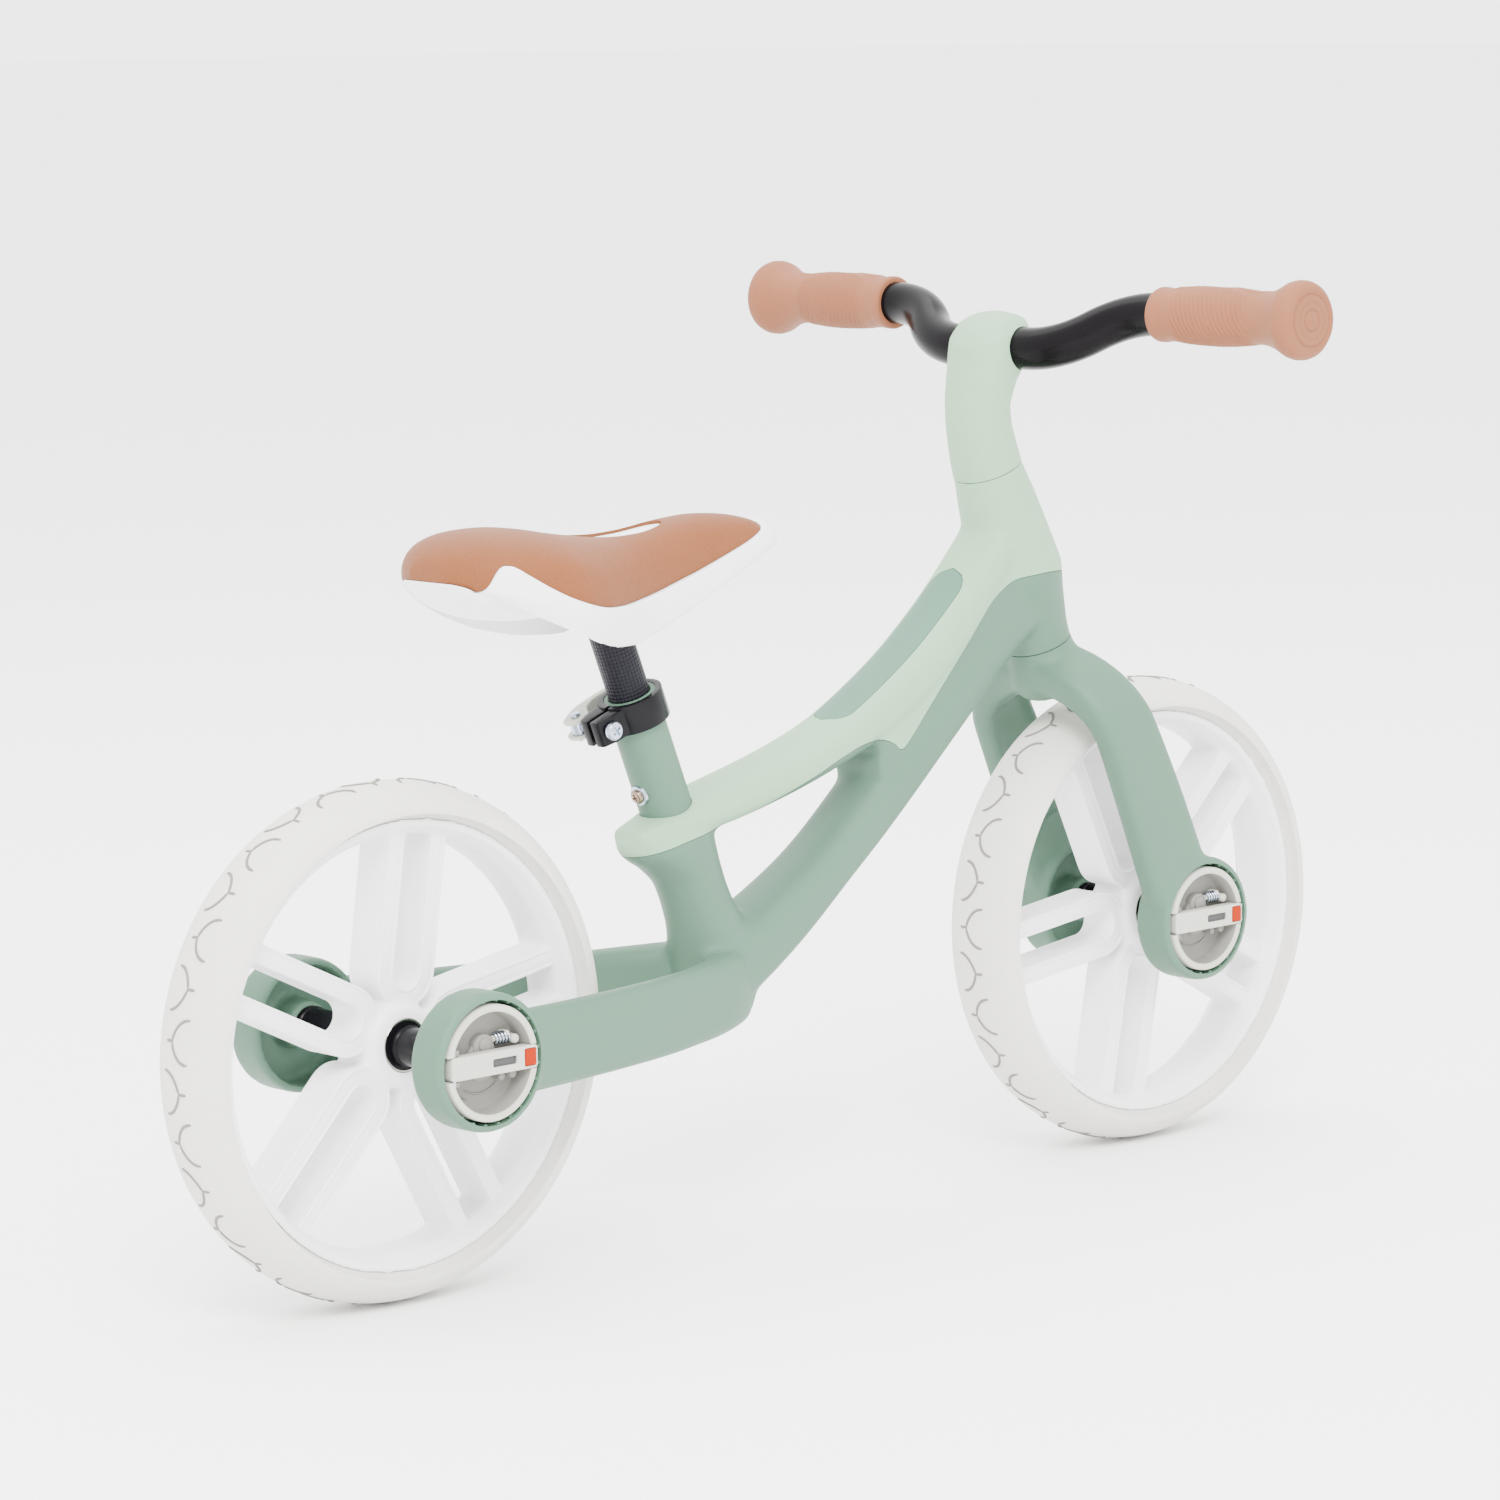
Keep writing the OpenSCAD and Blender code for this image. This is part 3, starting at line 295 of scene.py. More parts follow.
# Foam skin with pebbled grain
def pebbled(name, colour, rough, cell, depth):
    mat, nodes, links, shader = newMaterial(name)
    coords = objectCoords(nodes)
    pebble = nodes.new("ShaderNodeTexVoronoi")
    pebble.feature = "F1"
    pebble.inputs["Scale"].default_value = cell
    links.new(coords, pebble.inputs["Vector"])
    cloud = noiseTexture(nodes, links, coords, 25, 4)
    fine = noiseTexture(nodes, links, coords, 1500, 2)
    mottle = mathNode(nodes, links, "ADD",
                      mathNode(nodes, links, "MULTIPLY", pebble.outputs["Distance"], 0.5),
                      mathNode(nodes, links, "MULTIPLY", cloud, 0.6))
    links.new(rampOf(nodes, links, mottle, [(0.2, shade(colour, 1.06)), (0.85, shade(colour, 0.88))]),
              shader.inputs["Base Color"])
    links.new(mapped(nodes, links, cloud, rough - 0.06, rough + 0.06), shader.inputs["Roughness"])
    low = bumpOf(nodes, links, fine, 0.10, 0.0002)
    links.new(bumpOf(nodes, links, mathNode(nodes, links, "SUBTRACT", 1.0, pebble.outputs["Distance"]), depth,
                     0.0005, low), shader.inputs["Normal"])
    shader.inputs["Specular IOR Level"].default_value = 0.1
    shader.inputs["Sheen Weight"].default_value = 0.02
    shader.inputs["Sheen Roughness"].default_value = 0.6
    return mat


materials["saddleTan"] = pebbled("saddleTan", (0.160, 0.053, 0.018), 0.55, 950, 0.35)
materials["gripTan"] = pebbled("gripTan", (0.207, 0.078, 0.038), 0.58, 1500, 0.10)
# the tyre's chevrons are the same pale rubber; this darker grey is painted shade standing in for the shading
# along their raised ribs
materials["tyreChevronShade"] = pebbled("tyreChevronShade", (0.17, 0.16, 0.145), 0.72, 1300, 0.10)
materials["tyre"] = pebbled("tyreRubber", (0.60, 0.585, 0.54), 0.72, 1300, 0.10)


def paintNode(node, *names):                # a CAD part whose shape is right gets its real finish
    for index in range(max(1, len(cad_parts[node].data.materials))):
        mat = materials[names[min(index, len(names) - 1)]]
        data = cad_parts[node].data
        if index < len(data.materials):
            data.materials[index] = mat
        else:
            data.materials.append(mat)


print("materials made")


def newObject(name, bm):
    mesh = bpy.data.meshes.new(name)
    bm.to_mesh(mesh)
    bm.free()
    obj = bpy.data.objects.new(name, mesh)
    scene.collection.objects.link(obj)
    return obj


def settled(obj):                           # applies every modifier on the piece
    bpy.context.view_layer.update()
    mesh = bpy.data.meshes.new_from_object(obj.evaluated_get(bpy.context.evaluated_depsgraph_get()))
    obj.modifiers.clear()
    old = obj.data
    obj.data = mesh
    bpy.data.meshes.remove(old)
    return obj


def combined(obj, tool, how="DIFFERENCE"):     # cuts, keeps or adds the tool, and uses it up
    cut = obj.modifiers.new("combine", "BOOLEAN")
    cut.object = tool
    cut.operation = how
    cut.solver = "EXACT"
    settled(obj)
    bpy.data.objects.remove(tool)
    return obj


def remeshed(obj, voxel, smoothing):        # one even skin, with its inner corners filled
    mod = obj.modifiers.new("remesh", "REMESH")
    mod.mode = "VOXEL"
    mod.voxel_size = voxel * mm
    settled(obj)
    if smoothing:
        mod = obj.modifiers.new("smooth", "SMOOTH")
        mod.factor = 0.5
        mod.iterations = smoothing
        settled(obj)
    return obj


def bevelled(obj, width, segments=3, angle=35):
    mod = obj.modifiers.new("edges", "BEVEL")
    mod.width = width * mm
    mod.segments = segments
    mod.limit_method = "ANGLE"
    mod.angle_limit = math.radians(angle)
    mod.harden_normals = False
    return settled(obj)


def copied(obj, name):
    twin = obj.copy()
    twin.data = obj.data.copy()
    twin.name = name
    scene.collection.objects.link(twin)
    return twin


def joined(name, *objs):
    bm = bmesh.new()
    for obj in objs:
        bm.from_mesh(obj.data)
        bpy.data.objects.remove(obj)
    return newObject(name, bm)


def finished(obj, finish, body, nodes, sharp=38):      # finish, rider and CAD nodes
    mesh = obj.data
    marks = [p.material_index for p in mesh.polygons]       # which faces take the second finish
    mesh.materials.clear()
    for name in ([finish] if isinstance(finish, str) else finish):
        mesh.materials.append(materials[name])
    mesh.polygons.foreach_set("material_index", marks)
    mesh.shade_smooth()
    mesh.set_sharp_from_angle(angle=math.radians(sharp))
    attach(obj, body)
    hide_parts(*nodes)
    return obj


# A ring of a rounded-box section: a along u and b along v
def sectionRing(bm, centre, u, v, a, b, sides, square):
    verts = bmesh.ops.create_circle(bm, segments=sides, radius=1)["verts"]
    for k, vert in enumerate(verts):
        angle = 2 * math.pi * (k + 0.5) / sides
        across, up = math.cos(angle), math.sin(angle)
        vert.co = (Vector(centre)
                   + Vector(u) * (a * math.copysign(abs(across) ** square, across))
                   + Vector(v) * (b * math.copysign(abs(up) ** square, up)))
    return verts


def ringEdges(verts):
    held = set(verts)
    return [e for e in {e for v in verts for e in v.link_edges} if e.verts[0] in held and e.verts[1] in held]


def bridged(name, bm, made):                # joins the rings in order and closes both ends
    edges = [ringEdges(ring) for ring in made]
    for one, two in zip(edges, edges[1:]):
        bmesh.ops.bridge_loops(bm, edges=one + two)
    for ring in (made[0], made[-1]):
        bmesh.ops.contextual_create(bm, geom=ring)
    bmesh.ops.recalc_face_normals(bm, faces=bm.faces)
    return newObject(name, bm)


def lofted(name, rings, sides, square):
    bm = bmesh.new()
    return bridged(name, bm, [sectionRing(bm, *ring, sides, square) for ring in rings])


def rod(name, line, radius, sides, ends=1.0):       # a round bead along a line
    rings = []
    for k, point in enumerate(line):
        ahead = (line[min(len(line) - 1, k + 1)] - line[max(0, k - 1)]).normalized()
        side = Vector((0, 0, 1)) if abs(ahead.z) < 0.9 else Vector((1, 0, 0))
        u = ahead.cross(side).normalized()
        share = ends if k in (0, len(line) - 1) else 1.0
        rings.append((point, u, ahead.cross(u), radius * share * mm, radius * share * mm))
    return lofted(name, rings, sides, 1.0)


# A turned body: profile points are (radius, height) in mm, closed on the axis or into a ring
def turned(name, profile, place, steps, ring=False):
    bm = bmesh.new()
    verts = [bm.verts.new((r * mm, 0, z * mm)) for r, z in profile]
    for a, b in zip(verts, verts[1:] + (verts[:1] if ring else [])):
        if a is not b:
            bm.edges.new((a, b))
    bmesh.ops.spin(bm, geom=bm.verts[:] + bm.edges[:], axis=(0, 0, 1), cent=(0, 0, 0), angle=2 * math.pi,
                   steps=steps, use_merge=True)
    bmesh.ops.remove_doubles(bm, verts=bm.verts, dist=1e-6)
    bmesh.ops.dissolve_degenerate(bm, edges=bm.edges, dist=1e-7)
    bmesh.ops.recalc_face_normals(bm, faces=bm.faces)
    bmesh.ops.transform(bm, matrix=place, verts=bm.verts)
    return newObject(name, bm)


# A flat outline in mm pushed out to a slab between two heights
def slab(name, outline, low, high, place):
    bm = bmesh.new()
    face = bm.faces.new([bm.verts.new((x * mm, y * mm, low * mm)) for x, y in outline])
    pushed = bmesh.ops.extrude_face_region(bm, geom=[face])["geom"]
    bmesh.ops.translate(bm, vec=(0, 0, (high - low) * mm),
                        verts=[g for g in pushed if isinstance(g, bmesh.types.BMVert)])
    bmesh.ops.recalc_face_normals(bm, faces=bm.faces)
    bmesh.ops.transform(bm, matrix=place, verts=bm.verts)
    return newObject(name, bm)


def block(name, size, centre, place):
    bm = bmesh.new()
    bmesh.ops.create_cube(bm, size=1)
    bmesh.ops.scale(bm, vec=[s * mm for s in size], verts=bm.verts)
    bmesh.ops.translate(bm, vec=[c * mm for c in centre], verts=bm.verts)
    bmesh.ops.transform(bm, matrix=place, verts=bm.verts)
    return newObject(name, bm)


def drum(name, radius, low, high, place, steps=96):
    return turned(name, [(0, low), (radius, low), (radius, high), (0, high)], place, steps)


def bezierPoint(p, t):
    return p[0] * (1 - t) ** 3 + p[1] * 3 * t * (1 - t) ** 2 + p[2] * 3 * t * t * (1 - t) + p[3] * t ** 3


def between(a, b, f):
    return a + (b - a) * f


def rowAt(rows, t):                         # straight between [place, value...] rows
    t = min(max(t, rows[0][0]), rows[-1][0])
    for low, high in zip(rows, rows[1:]):
        if t <= high[0]:
            f = (t - low[0]) / (high[0] - low[0])
            return [between(x, y, f) for x, y in zip(low, high)]
    return list(rows[-1])


def softRow(rows, t, reach=0.04):
    near = [rowAt(rows, t + d * reach) for d in (-1, -0.5, 0, 0.5, 1)]
    return [sum(values) / len(near) for values in zip(*near)]


def smoothLine(points, steps, closed=False):        # a curve through the points
    out = []
    count = len(points)
    spans = count if closed else count - 1
    for k in range(spans):
        pick = [points[(k + d) % count] if closed else points[min(max(k + d, 0), count - 1)]
                for d in (-1, 0, 1, 2)]
        p0, p1, p2, p3 = [Vector(p) for p in pick]
        for i in range(steps):
            t = i / steps
            out.append(0.5 * (2 * p1 + (p2 - p0) * t + (2 * p0 - 5 * p1 + 4 * p2 - p3) * t * t
                              + (3 * p1 - p0 - 3 * p2 + p3) * t ** 3))
    if not closed:
        out.append(Vector(points[-1]))
    return out


def sweptInPlane(name, path, sizes):        # a beam along a curve in the bike's middle plane
    rings = []
    steps = 36
    for k in range(steps + 1):
        t = k / steps
        ahead = bezierPoint(path, min(1, t + 0.01)) - bezierPoint(path, max(0, t - 0.01))
        ahead.normalize()
        row = softRow(sizes, t)
        rings.append((bezierPoint(path, t), (-ahead.z, 0, ahead.x), (0, 1, 0), row[1] * mm, row[2] * mm))
    return lofted(name, rings, 40, 0.8)


frameShape = dict(voxel=1.5, smoothing=16, seamGap=0.35)

upperStart, upperEnd = headPoint(bike["crown"] + 75), seatPoint(96.5, -29)
upperPath = [upperStart, between(upperStart, upperEnd, 0.27) + Vector((0, 0, -0.066)),
             between(upperStart, upperEnd, 0.54) + Vector((0, 0, -0.040)), upperEnd]
upperSizes = [(0, 9, 18), (0.1, 12, 19.5), (0.25, 14, 20.5), (0.42, 14, 20.5), (0.55, 11.2, 20.5),
              (0.8, 10.8, 20.5), (0.88, 10, 20.5), (0.96, 6, 17), (1, 3.6, 9)]
downStart, downEnd = headPoint(bike["crown"] + 27), Vector(((bike["slotX"] + 19) * mm, 0, (axleZ + 2) * mm))
downPath = [downStart, between(downStart, downEnd, 0.275) + Vector((0, 0, 0.017)),
            between(downStart, downEnd, 0.55) + Vector((0, 0, -0.039)), downEnd]
downSizes = [(0, 15, 17), (0.3, 16, 20), (0.7, 14, 20), (0.85, 17, 23), (1, 19, 29)]

headProfile = [
    (0, 150), (17.3, 150), (17.5, 161.3), (18, 170.3), (21, 188.3), (24, 202.3), (22.5, 221.3),
    (20.4, 244.3), (18, 261.9), (17.6, 274), (0, 274),
]
columnProfile = [(0, 5), (24, 6), (20.5, 26), (17.8, 40), (17.2, 52), (17.6, 64), (18.6, 76), (18.6, 90),
                 (0, 90)]

# The line where the light cover meets the dark frame, in side view, from the head's front to the seat tube
coverSeam = [
    (235, 309), (215, 311.5), (198.4, 313), (183, 314.5), (169, 314.6), (152, 311.5), (140.6, 306),
             (131, 298.5), (117, 282.5),
    (103, 267), (86.4, 248.8), (75, 236.5), (70.6, 232.6), (67.6, 232.2), (64.6, 234.6), (60, 236.9),
             (53.1, 238.4),
    (45, 238.2), (36.8, 236.8), (30, 234.5), (20.6, 231), (4.8, 224.4), (-21.8, 215.2), (-48, 207.8),
             (-73.8, 203),
    (-100, 196), (-125, 192),
]


def stayBody(side):
    tip = Vector(((bike["rearX"] + 22), side * (bike["rearHalf"] - 11), axleZ)) * mm
    path = [Vector((bike["slotX"] + 34, side * 12, axleZ + 1)) * mm,
            Vector((bike["slotX"] - 4, side * (bike["slotHalf"] + 14), axleZ - 1)) * mm,
            Vector((bike["slotX"] - 60, side * (bike["slotHalf"] + 15), axleZ - 3)) * mm, tip]
    rings = []
    for k in range(25):
        t = k / 24
        ahead = bezierPoint(path, min(1, t + 0.02)) - bezierPoint(path, max(0, t - 0.02))
        ahead.normalize()
        row = softRow([(0, 12, 19), (0.35, 8, 19), (1, 8, 20)], t)
        rings.append((bezierPoint(path, t), Vector((-ahead.y, ahead.x, 0)).normalized(), (0, 0, 1),
                      row[1] * mm, row[2] * mm))
    return lofted("stay", rings, 32, 0.55)


def funnelBody():                           # flares from the column's waist out under the cover's tail
    rows = [(56, 0, 15.5, 15.5), (66, -1, 17.5, 17.5), (76, -3.5, 20.5, 18.5), (83, -6.5, 23.5, 18),
            (90, -8.5, 26, 16), (96, -9, 25, 12)]
    rings = [(Vector((q, 0, s)) * mm, (1, 0, 0), (0, 1, 0), a * mm, b * mm) for s, q, a, b in rows]
    obj = lofted("funnel", rings, 48, 0.95)
    obj.data.transform(seatPlace())
    return obj


def wheelSlot():
    front = bike["slotX"] - bike["slotHalf"]
    inner = bike["rearHalf"] - bike["housingDepth"]
    arc = [(front + bike["slotHalf"] * math.sin(math.radians(a)),
            bike["slotHalf"] * math.cos(math.radians(a))) for a in range(0, 181, 9)]
    outline = [(bike["rearX"] - 66, inner),
               (bike["rearX"] + 33, inner)] + arc + [(bike["rearX"] + 33, -inner),
                                                     (bike["rearX"] - 66, -inner)]
    return slab("slot", outline[::-1], axleZ - 60, axleZ + 30, upright)


def housingDrum(x, half, side):
    return drum("housing", bike["housingRadius"], -bike["housingDepth"], 0, axlePlace(x, half, side))


def cupRoom(x, half):                       # the left housing is open towards the wheel
    return turned("cup", [(12, -23), (29, -23), (29, -5), (12, -5)], axlePlace(x, half, 1), 96, ring=True)


def dialRoom(x, half):
    return drum("recess", bike["recessRadius"], -bike["recessDepth"], 5, axlePlace(x, half, -1), 128)


def clickTeeth(x, half):                    # small half-round teeth in the wall of the recess
    teeth, count = [], 24
    for k in range(count):
        turn = Matrix.Rotation(2 * math.pi * (k + 0.5) / count, 4, "Z")
        place = axlePlace(x, half, -1) @ turn @ shifted(bike["recessRadius"], 0, 0)
        teeth.append(turned("tooth", [(0, -13), (0.95, -13), (0.95, -1.5), (0.6, -1.1), (0, -1.1)], place,
                            12))
    return joined("teeth", *teeth)


def frameBody():
    web = [(139, 312), (176, 330), (188, 302), (152, 276), (128, 262), (108, 246), (90, 232), (72, 221),
           (59, 212), (54, 219), (53, 227), (57, 238), (68, 250), (82, 262), (106, 278)]
    chin = slab("chin", [(-66, 107), (-50, 106), (-42, 107), (-34, 112), (-31, 120), (-36, 130), (-66, 130)],
                -16, 16, onSide)
    parts = [
        turned("head", headProfile, headPlace(), 64),
        sweptInPlane("down", downPath, downSizes),
        sweptInPlane("upper", upperPath, upperSizes),
        slab("web", web[::-1], -17.5, 17.5, onSide),
        turned("column", columnProfile, seatPlace(), 48),
        funnelBody(), stayBody(1), stayBody(-1), chin,
        housingDrum(bike["rearX"], bike["rearHalf"], -1),
        housingDrum(bike["rearX"], bike["rearHalf"], 1),
    ]
    body = joined("body", *parts)
    remeshed(body, 2.0, 0)
    combined(body, wheelSlot())
    combined(body, cupRoom(bike["rearX"], bike["rearHalf"]))
    remeshed(body, frameShape["voxel"], frameShape["smoothing"])
    combined(body, dialRoom(bike["rearX"], bike["rearHalf"]))
    combined(body, drum("axleHead", 12.3, -3, 6, axlePlace(bike["rearX"], bike["rearHalf"], 1)))
    combined(body, drum("seatBore", bike["seatTubeRadius"] + 0.2, 78, 180, seatPlace(), 64))
    combined(body, block("headTop", (120, 120, 60), (0, 0, bike["stemSeam"] - bike["seamHalf"] + 30),
                         headPlace()))
    combined(body, block("headFoot", (120, 60, 60), (0, 0, bike["crown"] + bike["seamHalf"] - 30),
                         headPlace()))
    return body


body = frameBody()
print("frame body", len(body.data.polygons))

seamLine = [(p.x, p.y) for p in smoothLine([(x, z, 0) for x, z in coverSeam], 5)]
overCover = seamLine + [(-125, 460), (235, 460)]
coverRoom = slab("coverRoom", overCover, -60, 60, onSide)
frameRoom = slab("frameRoom", [(x, z - frameShape["seamGap"]) for x, z in overCover], -60, 60, onSide)
cover = copied(body, "topCover")
combined(cover, coverRoom, "INTERSECT")
combined(body, frameRoom)
print("cover and frame parted")

badge = dict(fromT=0.122, toT=0.552, half=12.0, reach=6.0, gap=0.35)


def badgeRoom(name, extra):                 # follows the ridge, with round ends
    rings = []
    steps = 40
    length = (bezierPoint(upperPath, badge["toT"]) - bezierPoint(upperPath,
                                                                 badge["fromT"])).length / mm + 2 * extra
    for k in range(steps + 1):
        f = k / steps
        run = length * f
        end = badge["half"] + extra
        short = min(run, length - run)
        wide = end * math.sqrt(max(0.0025, 1 - max(0, 1 - short / end) ** 2))
        t = between(badge["fromT"], badge["toT"], f + extra / length * (2 * f - 1))
        ahead = bezierPoint(upperPath, t + 0.01) - bezierPoint(upperPath, t - 0.01)
        ahead.normalize()
        up = Vector((-ahead.z, 0, ahead.x))
        up = up if up.z > 0 else -up
        lift = softRow(upperSizes, t)[1]
        rings.append((bezierPoint(upperPath, t) + up * lift * mm, up, (0, 1, 0), badge["reach"] * mm,
                      wide * mm))
    return lofted(name, rings, 32, 0.12)


inlay = copied(cover, "badgeStrip")
combined(inlay, badgeRoom("badgeCut", 0), "INTERSECT")
combined(cover, badgeRoom("badgePocket", badge["gap"]))
finished(inlay, "badge", "frame", ("badge_strip",))
finished(cover, "mint", "frame", ("top_cover",))
teeth = clickTeeth(bike["rearX"], bike["rearHalf"])
body = joined("mainFrame", body, teeth)
finished(body, "sage", "frame", ("main_frame",))
print("frame finished")


forkShape = dict(voxel=1.35, smoothing=13, legY=44.5, legHalfT=8.5, legHalfW=21.5, crownLow=135.3, hollow=4.5,
                 rim=5.0)


def forkLine():
    legTop = forkShape["crownLow"] - 26
    legs = [(forkShape["legY"], s) for s in (0, 30, 60, legTop - 14)]
    arch = [(forkShape["legY"] * math.cos(math.radians(a)) ** 0.95,
             legTop + (bike["crown"] - 14 - legTop) * math.sin(math.radians(a)))
            for a in range(6, 91, 7)]
    half = legs + arch
    return smoothLine([(0, y, s) for y, s in half] + [(0, -y, s) for y, s in half[-2::-1]], 3)


def forkRings(line, inward=0.0, halfT=None, trim=0.0):
    rings = []
    for k, point in enumerate(line):
        ahead = (line[min(len(line) - 1, k + 1)] - line[max(0, k - 1)]).normalized()
        across = Vector((0, -ahead.z, ahead.y))
        up = min(1, point.z / bike["crown"])
        wide = forkShape["legHalfW"] - 7 * up ** 2 - trim
        thick = forkShape["legHalfT"] + 4 * up ** 6 if halfT is None else halfT
        centre = Vector((6 - 9 * up ** 2, point.y, point.z)) + across * inward
        rings.append((centre * mm, (1, 0, 0), across, wide * mm, thick * mm))
    return rings


def forkBody():
    line = forkLine()
    arch = lofted("arch", forkRings(line), 36, 0.5)
    arch.data.transform(headPlace())
    crown = turned("crown", [(0, 133), (15, 133), (20.5, 143), (18.6, 154), (17.5, 161.3), (17.2, 172),
                             (0, 172)], headPlace(), 64)
    fork = joined("fork", arch, crown, housingDrum(bike["frontX"], bike["frontHalf"], -1),
                  housingDrum(bike["frontX"], bike["frontHalf"], 1))
    remeshed(fork, 1.8, 0)
    combined(fork, cupRoom(bike["frontX"], bike["frontHalf"]))
    low, high = 5, 26
    for part in (line[low:high], line[::-1][low:high]):     # shallow hollow on the inner face of each leg
        side = 1 if part[0].y < 0 else -1
        inward = side * (forkShape["legHalfT"] - forkShape["hollow"] / 2 + 2.5)
        rings = forkRings(part, -inward, forkShape["hollow"] / 2 + 2.5, forkShape["rim"])
        tool = lofted("hollow", rings, 28, 0.4)
        tool.data.transform(headPlace())
        combined(fork, tool)
    remeshed(fork, forkShape["voxel"], forkShape["smoothing"])
    combined(fork, dialRoom(bike["frontX"], bike["frontHalf"]))
    combined(fork, drum("axleHead", 12.3, -3, 6, axlePlace(bike["frontX"], bike["frontHalf"], 1)))
    combined(fork, block("crownTop", (80, 80, 40), (0, 0, bike["crown"] - bike["seamHalf"] + 20),
                         headPlace()))
    return fork


fork = forkBody()
fork = joined("fork", fork, clickTeeth(bike["frontX"], bike["frontHalf"]))
finished(fork, "sage", "steering", ("fork",))
print("fork finished", len(fork.data.polygons))

stem = dict(
    voxel=1.3, smoothing=9, foot=262.15,
    rows=[(-12, 0, 18.2, 18.2), (0, 0, 18, 18), (9, 0.5, 17.6, 17.6), (20, 1.8, 17, 17), (30, 4.5, 17, 17.2),
          (40, 11, 19, 19),
          (50, 21.5, 24, 21), (58, 25.5, 22.5, 22), (66, 27, 19.8, 20.5), (72, 26.5, 12, 14.5),
          (74.5, 27, 5, 7)],
)
barCentre = headPoint(317.5, 29.4)


def stemBody():
    rings = [(Vector((q, 0, stem["foot"] + s)) * mm, (1, 0, 0), (0, 1, 0), a * mm, b * mm) for s, q, a,
             b in stem["rows"]]
    obj = lofted("stem", rings, 56, 0.95)
    obj.data.transform(headPlace())
    remeshed(obj, stem["voxel"], stem["smoothing"])
    bore = turned("bore", [(0, -40), (11.25, -40), (11.25, 40), (0, 40)],
                  Matrix.Translation(barCentre) @ onSide, 96)
    combined(obj, bore)
    combined(obj, block("stemFoot", (90, 90, 40), (0, 0, stem["foot"] - 20), headPlace()))
    combined(obj, drum("steererRoom", 10.2, 240, 289, headPlace(), 48))
    for s in (9, 21):
        combined(obj, drum("screwRoom", 4.6, 14, 40,
                           headPlace(bike["stemSeam"] + s) @ Matrix.Rotation(math.pi / 2, 4, "Y"), 40))
    return obj


finished(stemBody(), "mint", "steering", ("stem",))
print("stem finished")

bar = dict(radius=11, straight=24, bendRadius=49, bendAngle=45.4, bendLift=40.2, gripSweep=0.8, halfWidth=195,
           gripLength=99.5)
bendTurn, bendRise = math.radians(bar["bendAngle"]), math.radians(bar["bendLift"])
bendY = bar["straight"] + 2 * bar["bendRadius"] * math.sin(bendTurn)
bendOut = 2 * bar["bendRadius"] * (1 - math.cos(bendTurn))
outward = Vector((math.cos(bendRise), 0, math.sin(bendRise)))
gripEnd = (bar["halfWidth"] - bendY) / math.cos(math.radians(bar["gripSweep"]))


def barLine():                              # half of the bar, from its middle to inside the grip
    steps = 14
    flat = [(0, 0), (8, 0), (16, 0)]
    flat += [(bar["straight"] + bar["bendRadius"] * math.sin(bendTurn * k / steps),
              bar["bendRadius"] * (1 - math.cos(bendTurn * k / steps))) for k in range(steps + 1)]
    flat += [(bendY - bar["bendRadius"] * math.sin(bendTurn * k / steps),
              bendOut - bar["bendRadius"] * (1 - math.cos(bendTurn * k / steps)))
             for k in range(steps - 1, -1, -1)]
    points = [barCentre + outward * (o * mm) + Vector((0, y * mm, 0)) for y, o in flat]
    sweep = math.radians(bar["gripSweep"])
    points.append(points[-1] + Vector((math.sin(sweep), math.cos(sweep), 0)) * (20 * mm))
    return points


def barTube():
    half = barLine()
    line = [Vector((p.x, -p.y, p.z)) for p in half[:0:-1]] + half
    across = outward.cross(Vector((0, 1, 0)))
    rings = []
    for k, point in enumerate(line):
        ahead = (line[min(len(line) - 1, k + 1)] - line[max(0, k - 1)]).normalized()
        u = across.cross(ahead).normalized()
        rings.append((point, u, ahead.cross(u), bar["radius"] * mm, bar["radius"] * mm))
    return lofted("handlebar", rings, 64, 1.0)


finished(barTube(), "enamel", "steering", ("handlebar",))


def gripPlace(side):
    sweep = Matrix.Rotation(-math.radians(bar["gripSweep"]), 4, "Z")
    start = Matrix.Translation(barCentre + outward * (bendOut * mm) + Vector((0, bendY * mm, 0))) @ sweep
    place = start @ Matrix.Rotation(-math.pi / 2, 4, "X") @ shifted(0, 0, gripEnd - bar["gripLength"])
    return place if side > 0 else Matrix.Scale(-1, 4, (0, 1, 0)) @ place


gripProfile = [
    (11.0, 0), (12.9, 0), (13.7, 0.4), (14.0, 1.3), (14.0, 3.8), (13.7, 6), (13.4, 8), (13.5, 11), (14.0, 19),
               (14.5, 28), (14.7, 40),
    (14.4, 50), (13.7, 58), (13.0, 65), (13.0, 69), (13.8, 74), (15.2, 79), (17.4, 84), (19.2, 87.6),
               (19.9, 90.6), (19.8, 93.6),
    (18.9, 96.1), (17.0, 98.1), (14.5, 99.1), (11, 99.5), (6, 99.5), (0, 99.5),
]


def gripRelief(radius, angle, z):           # how far the surface stands proud, in mm
    if z > 99:
        rings = sum(math.exp(-((radius - at) / 0.55) ** 2) for at in (13.2, 9.2, 5.4))
        return 0, -0.6 - 0.8 * rings + (0.5 if radius < 1.4 else 0)
    wave = 52 + 15 * math.cos(2 * math.pi * (z - 12) / 54)
    inside = min(1, max(0, (wave - abs(math.degrees(angle))) / 3.5))
    ends = min(1, max(0, (z - 10) / 3)) * min(1, max(0, (74 - z) / 4))
    panel = 0.75 * inside * ends
    under = (abs(math.degrees(angle)) - wave - 10) / 6
    ribs = min(1, max(0, under)) * min(1, max(0, (z - 14) / 4)) * min(1, max(0, (66 - z) / 4))
    return panel + 0.48 * ribs * (math.sin(2 * math.pi * (z + 0.10 * math.degrees(angle)) / 3.0)), 0


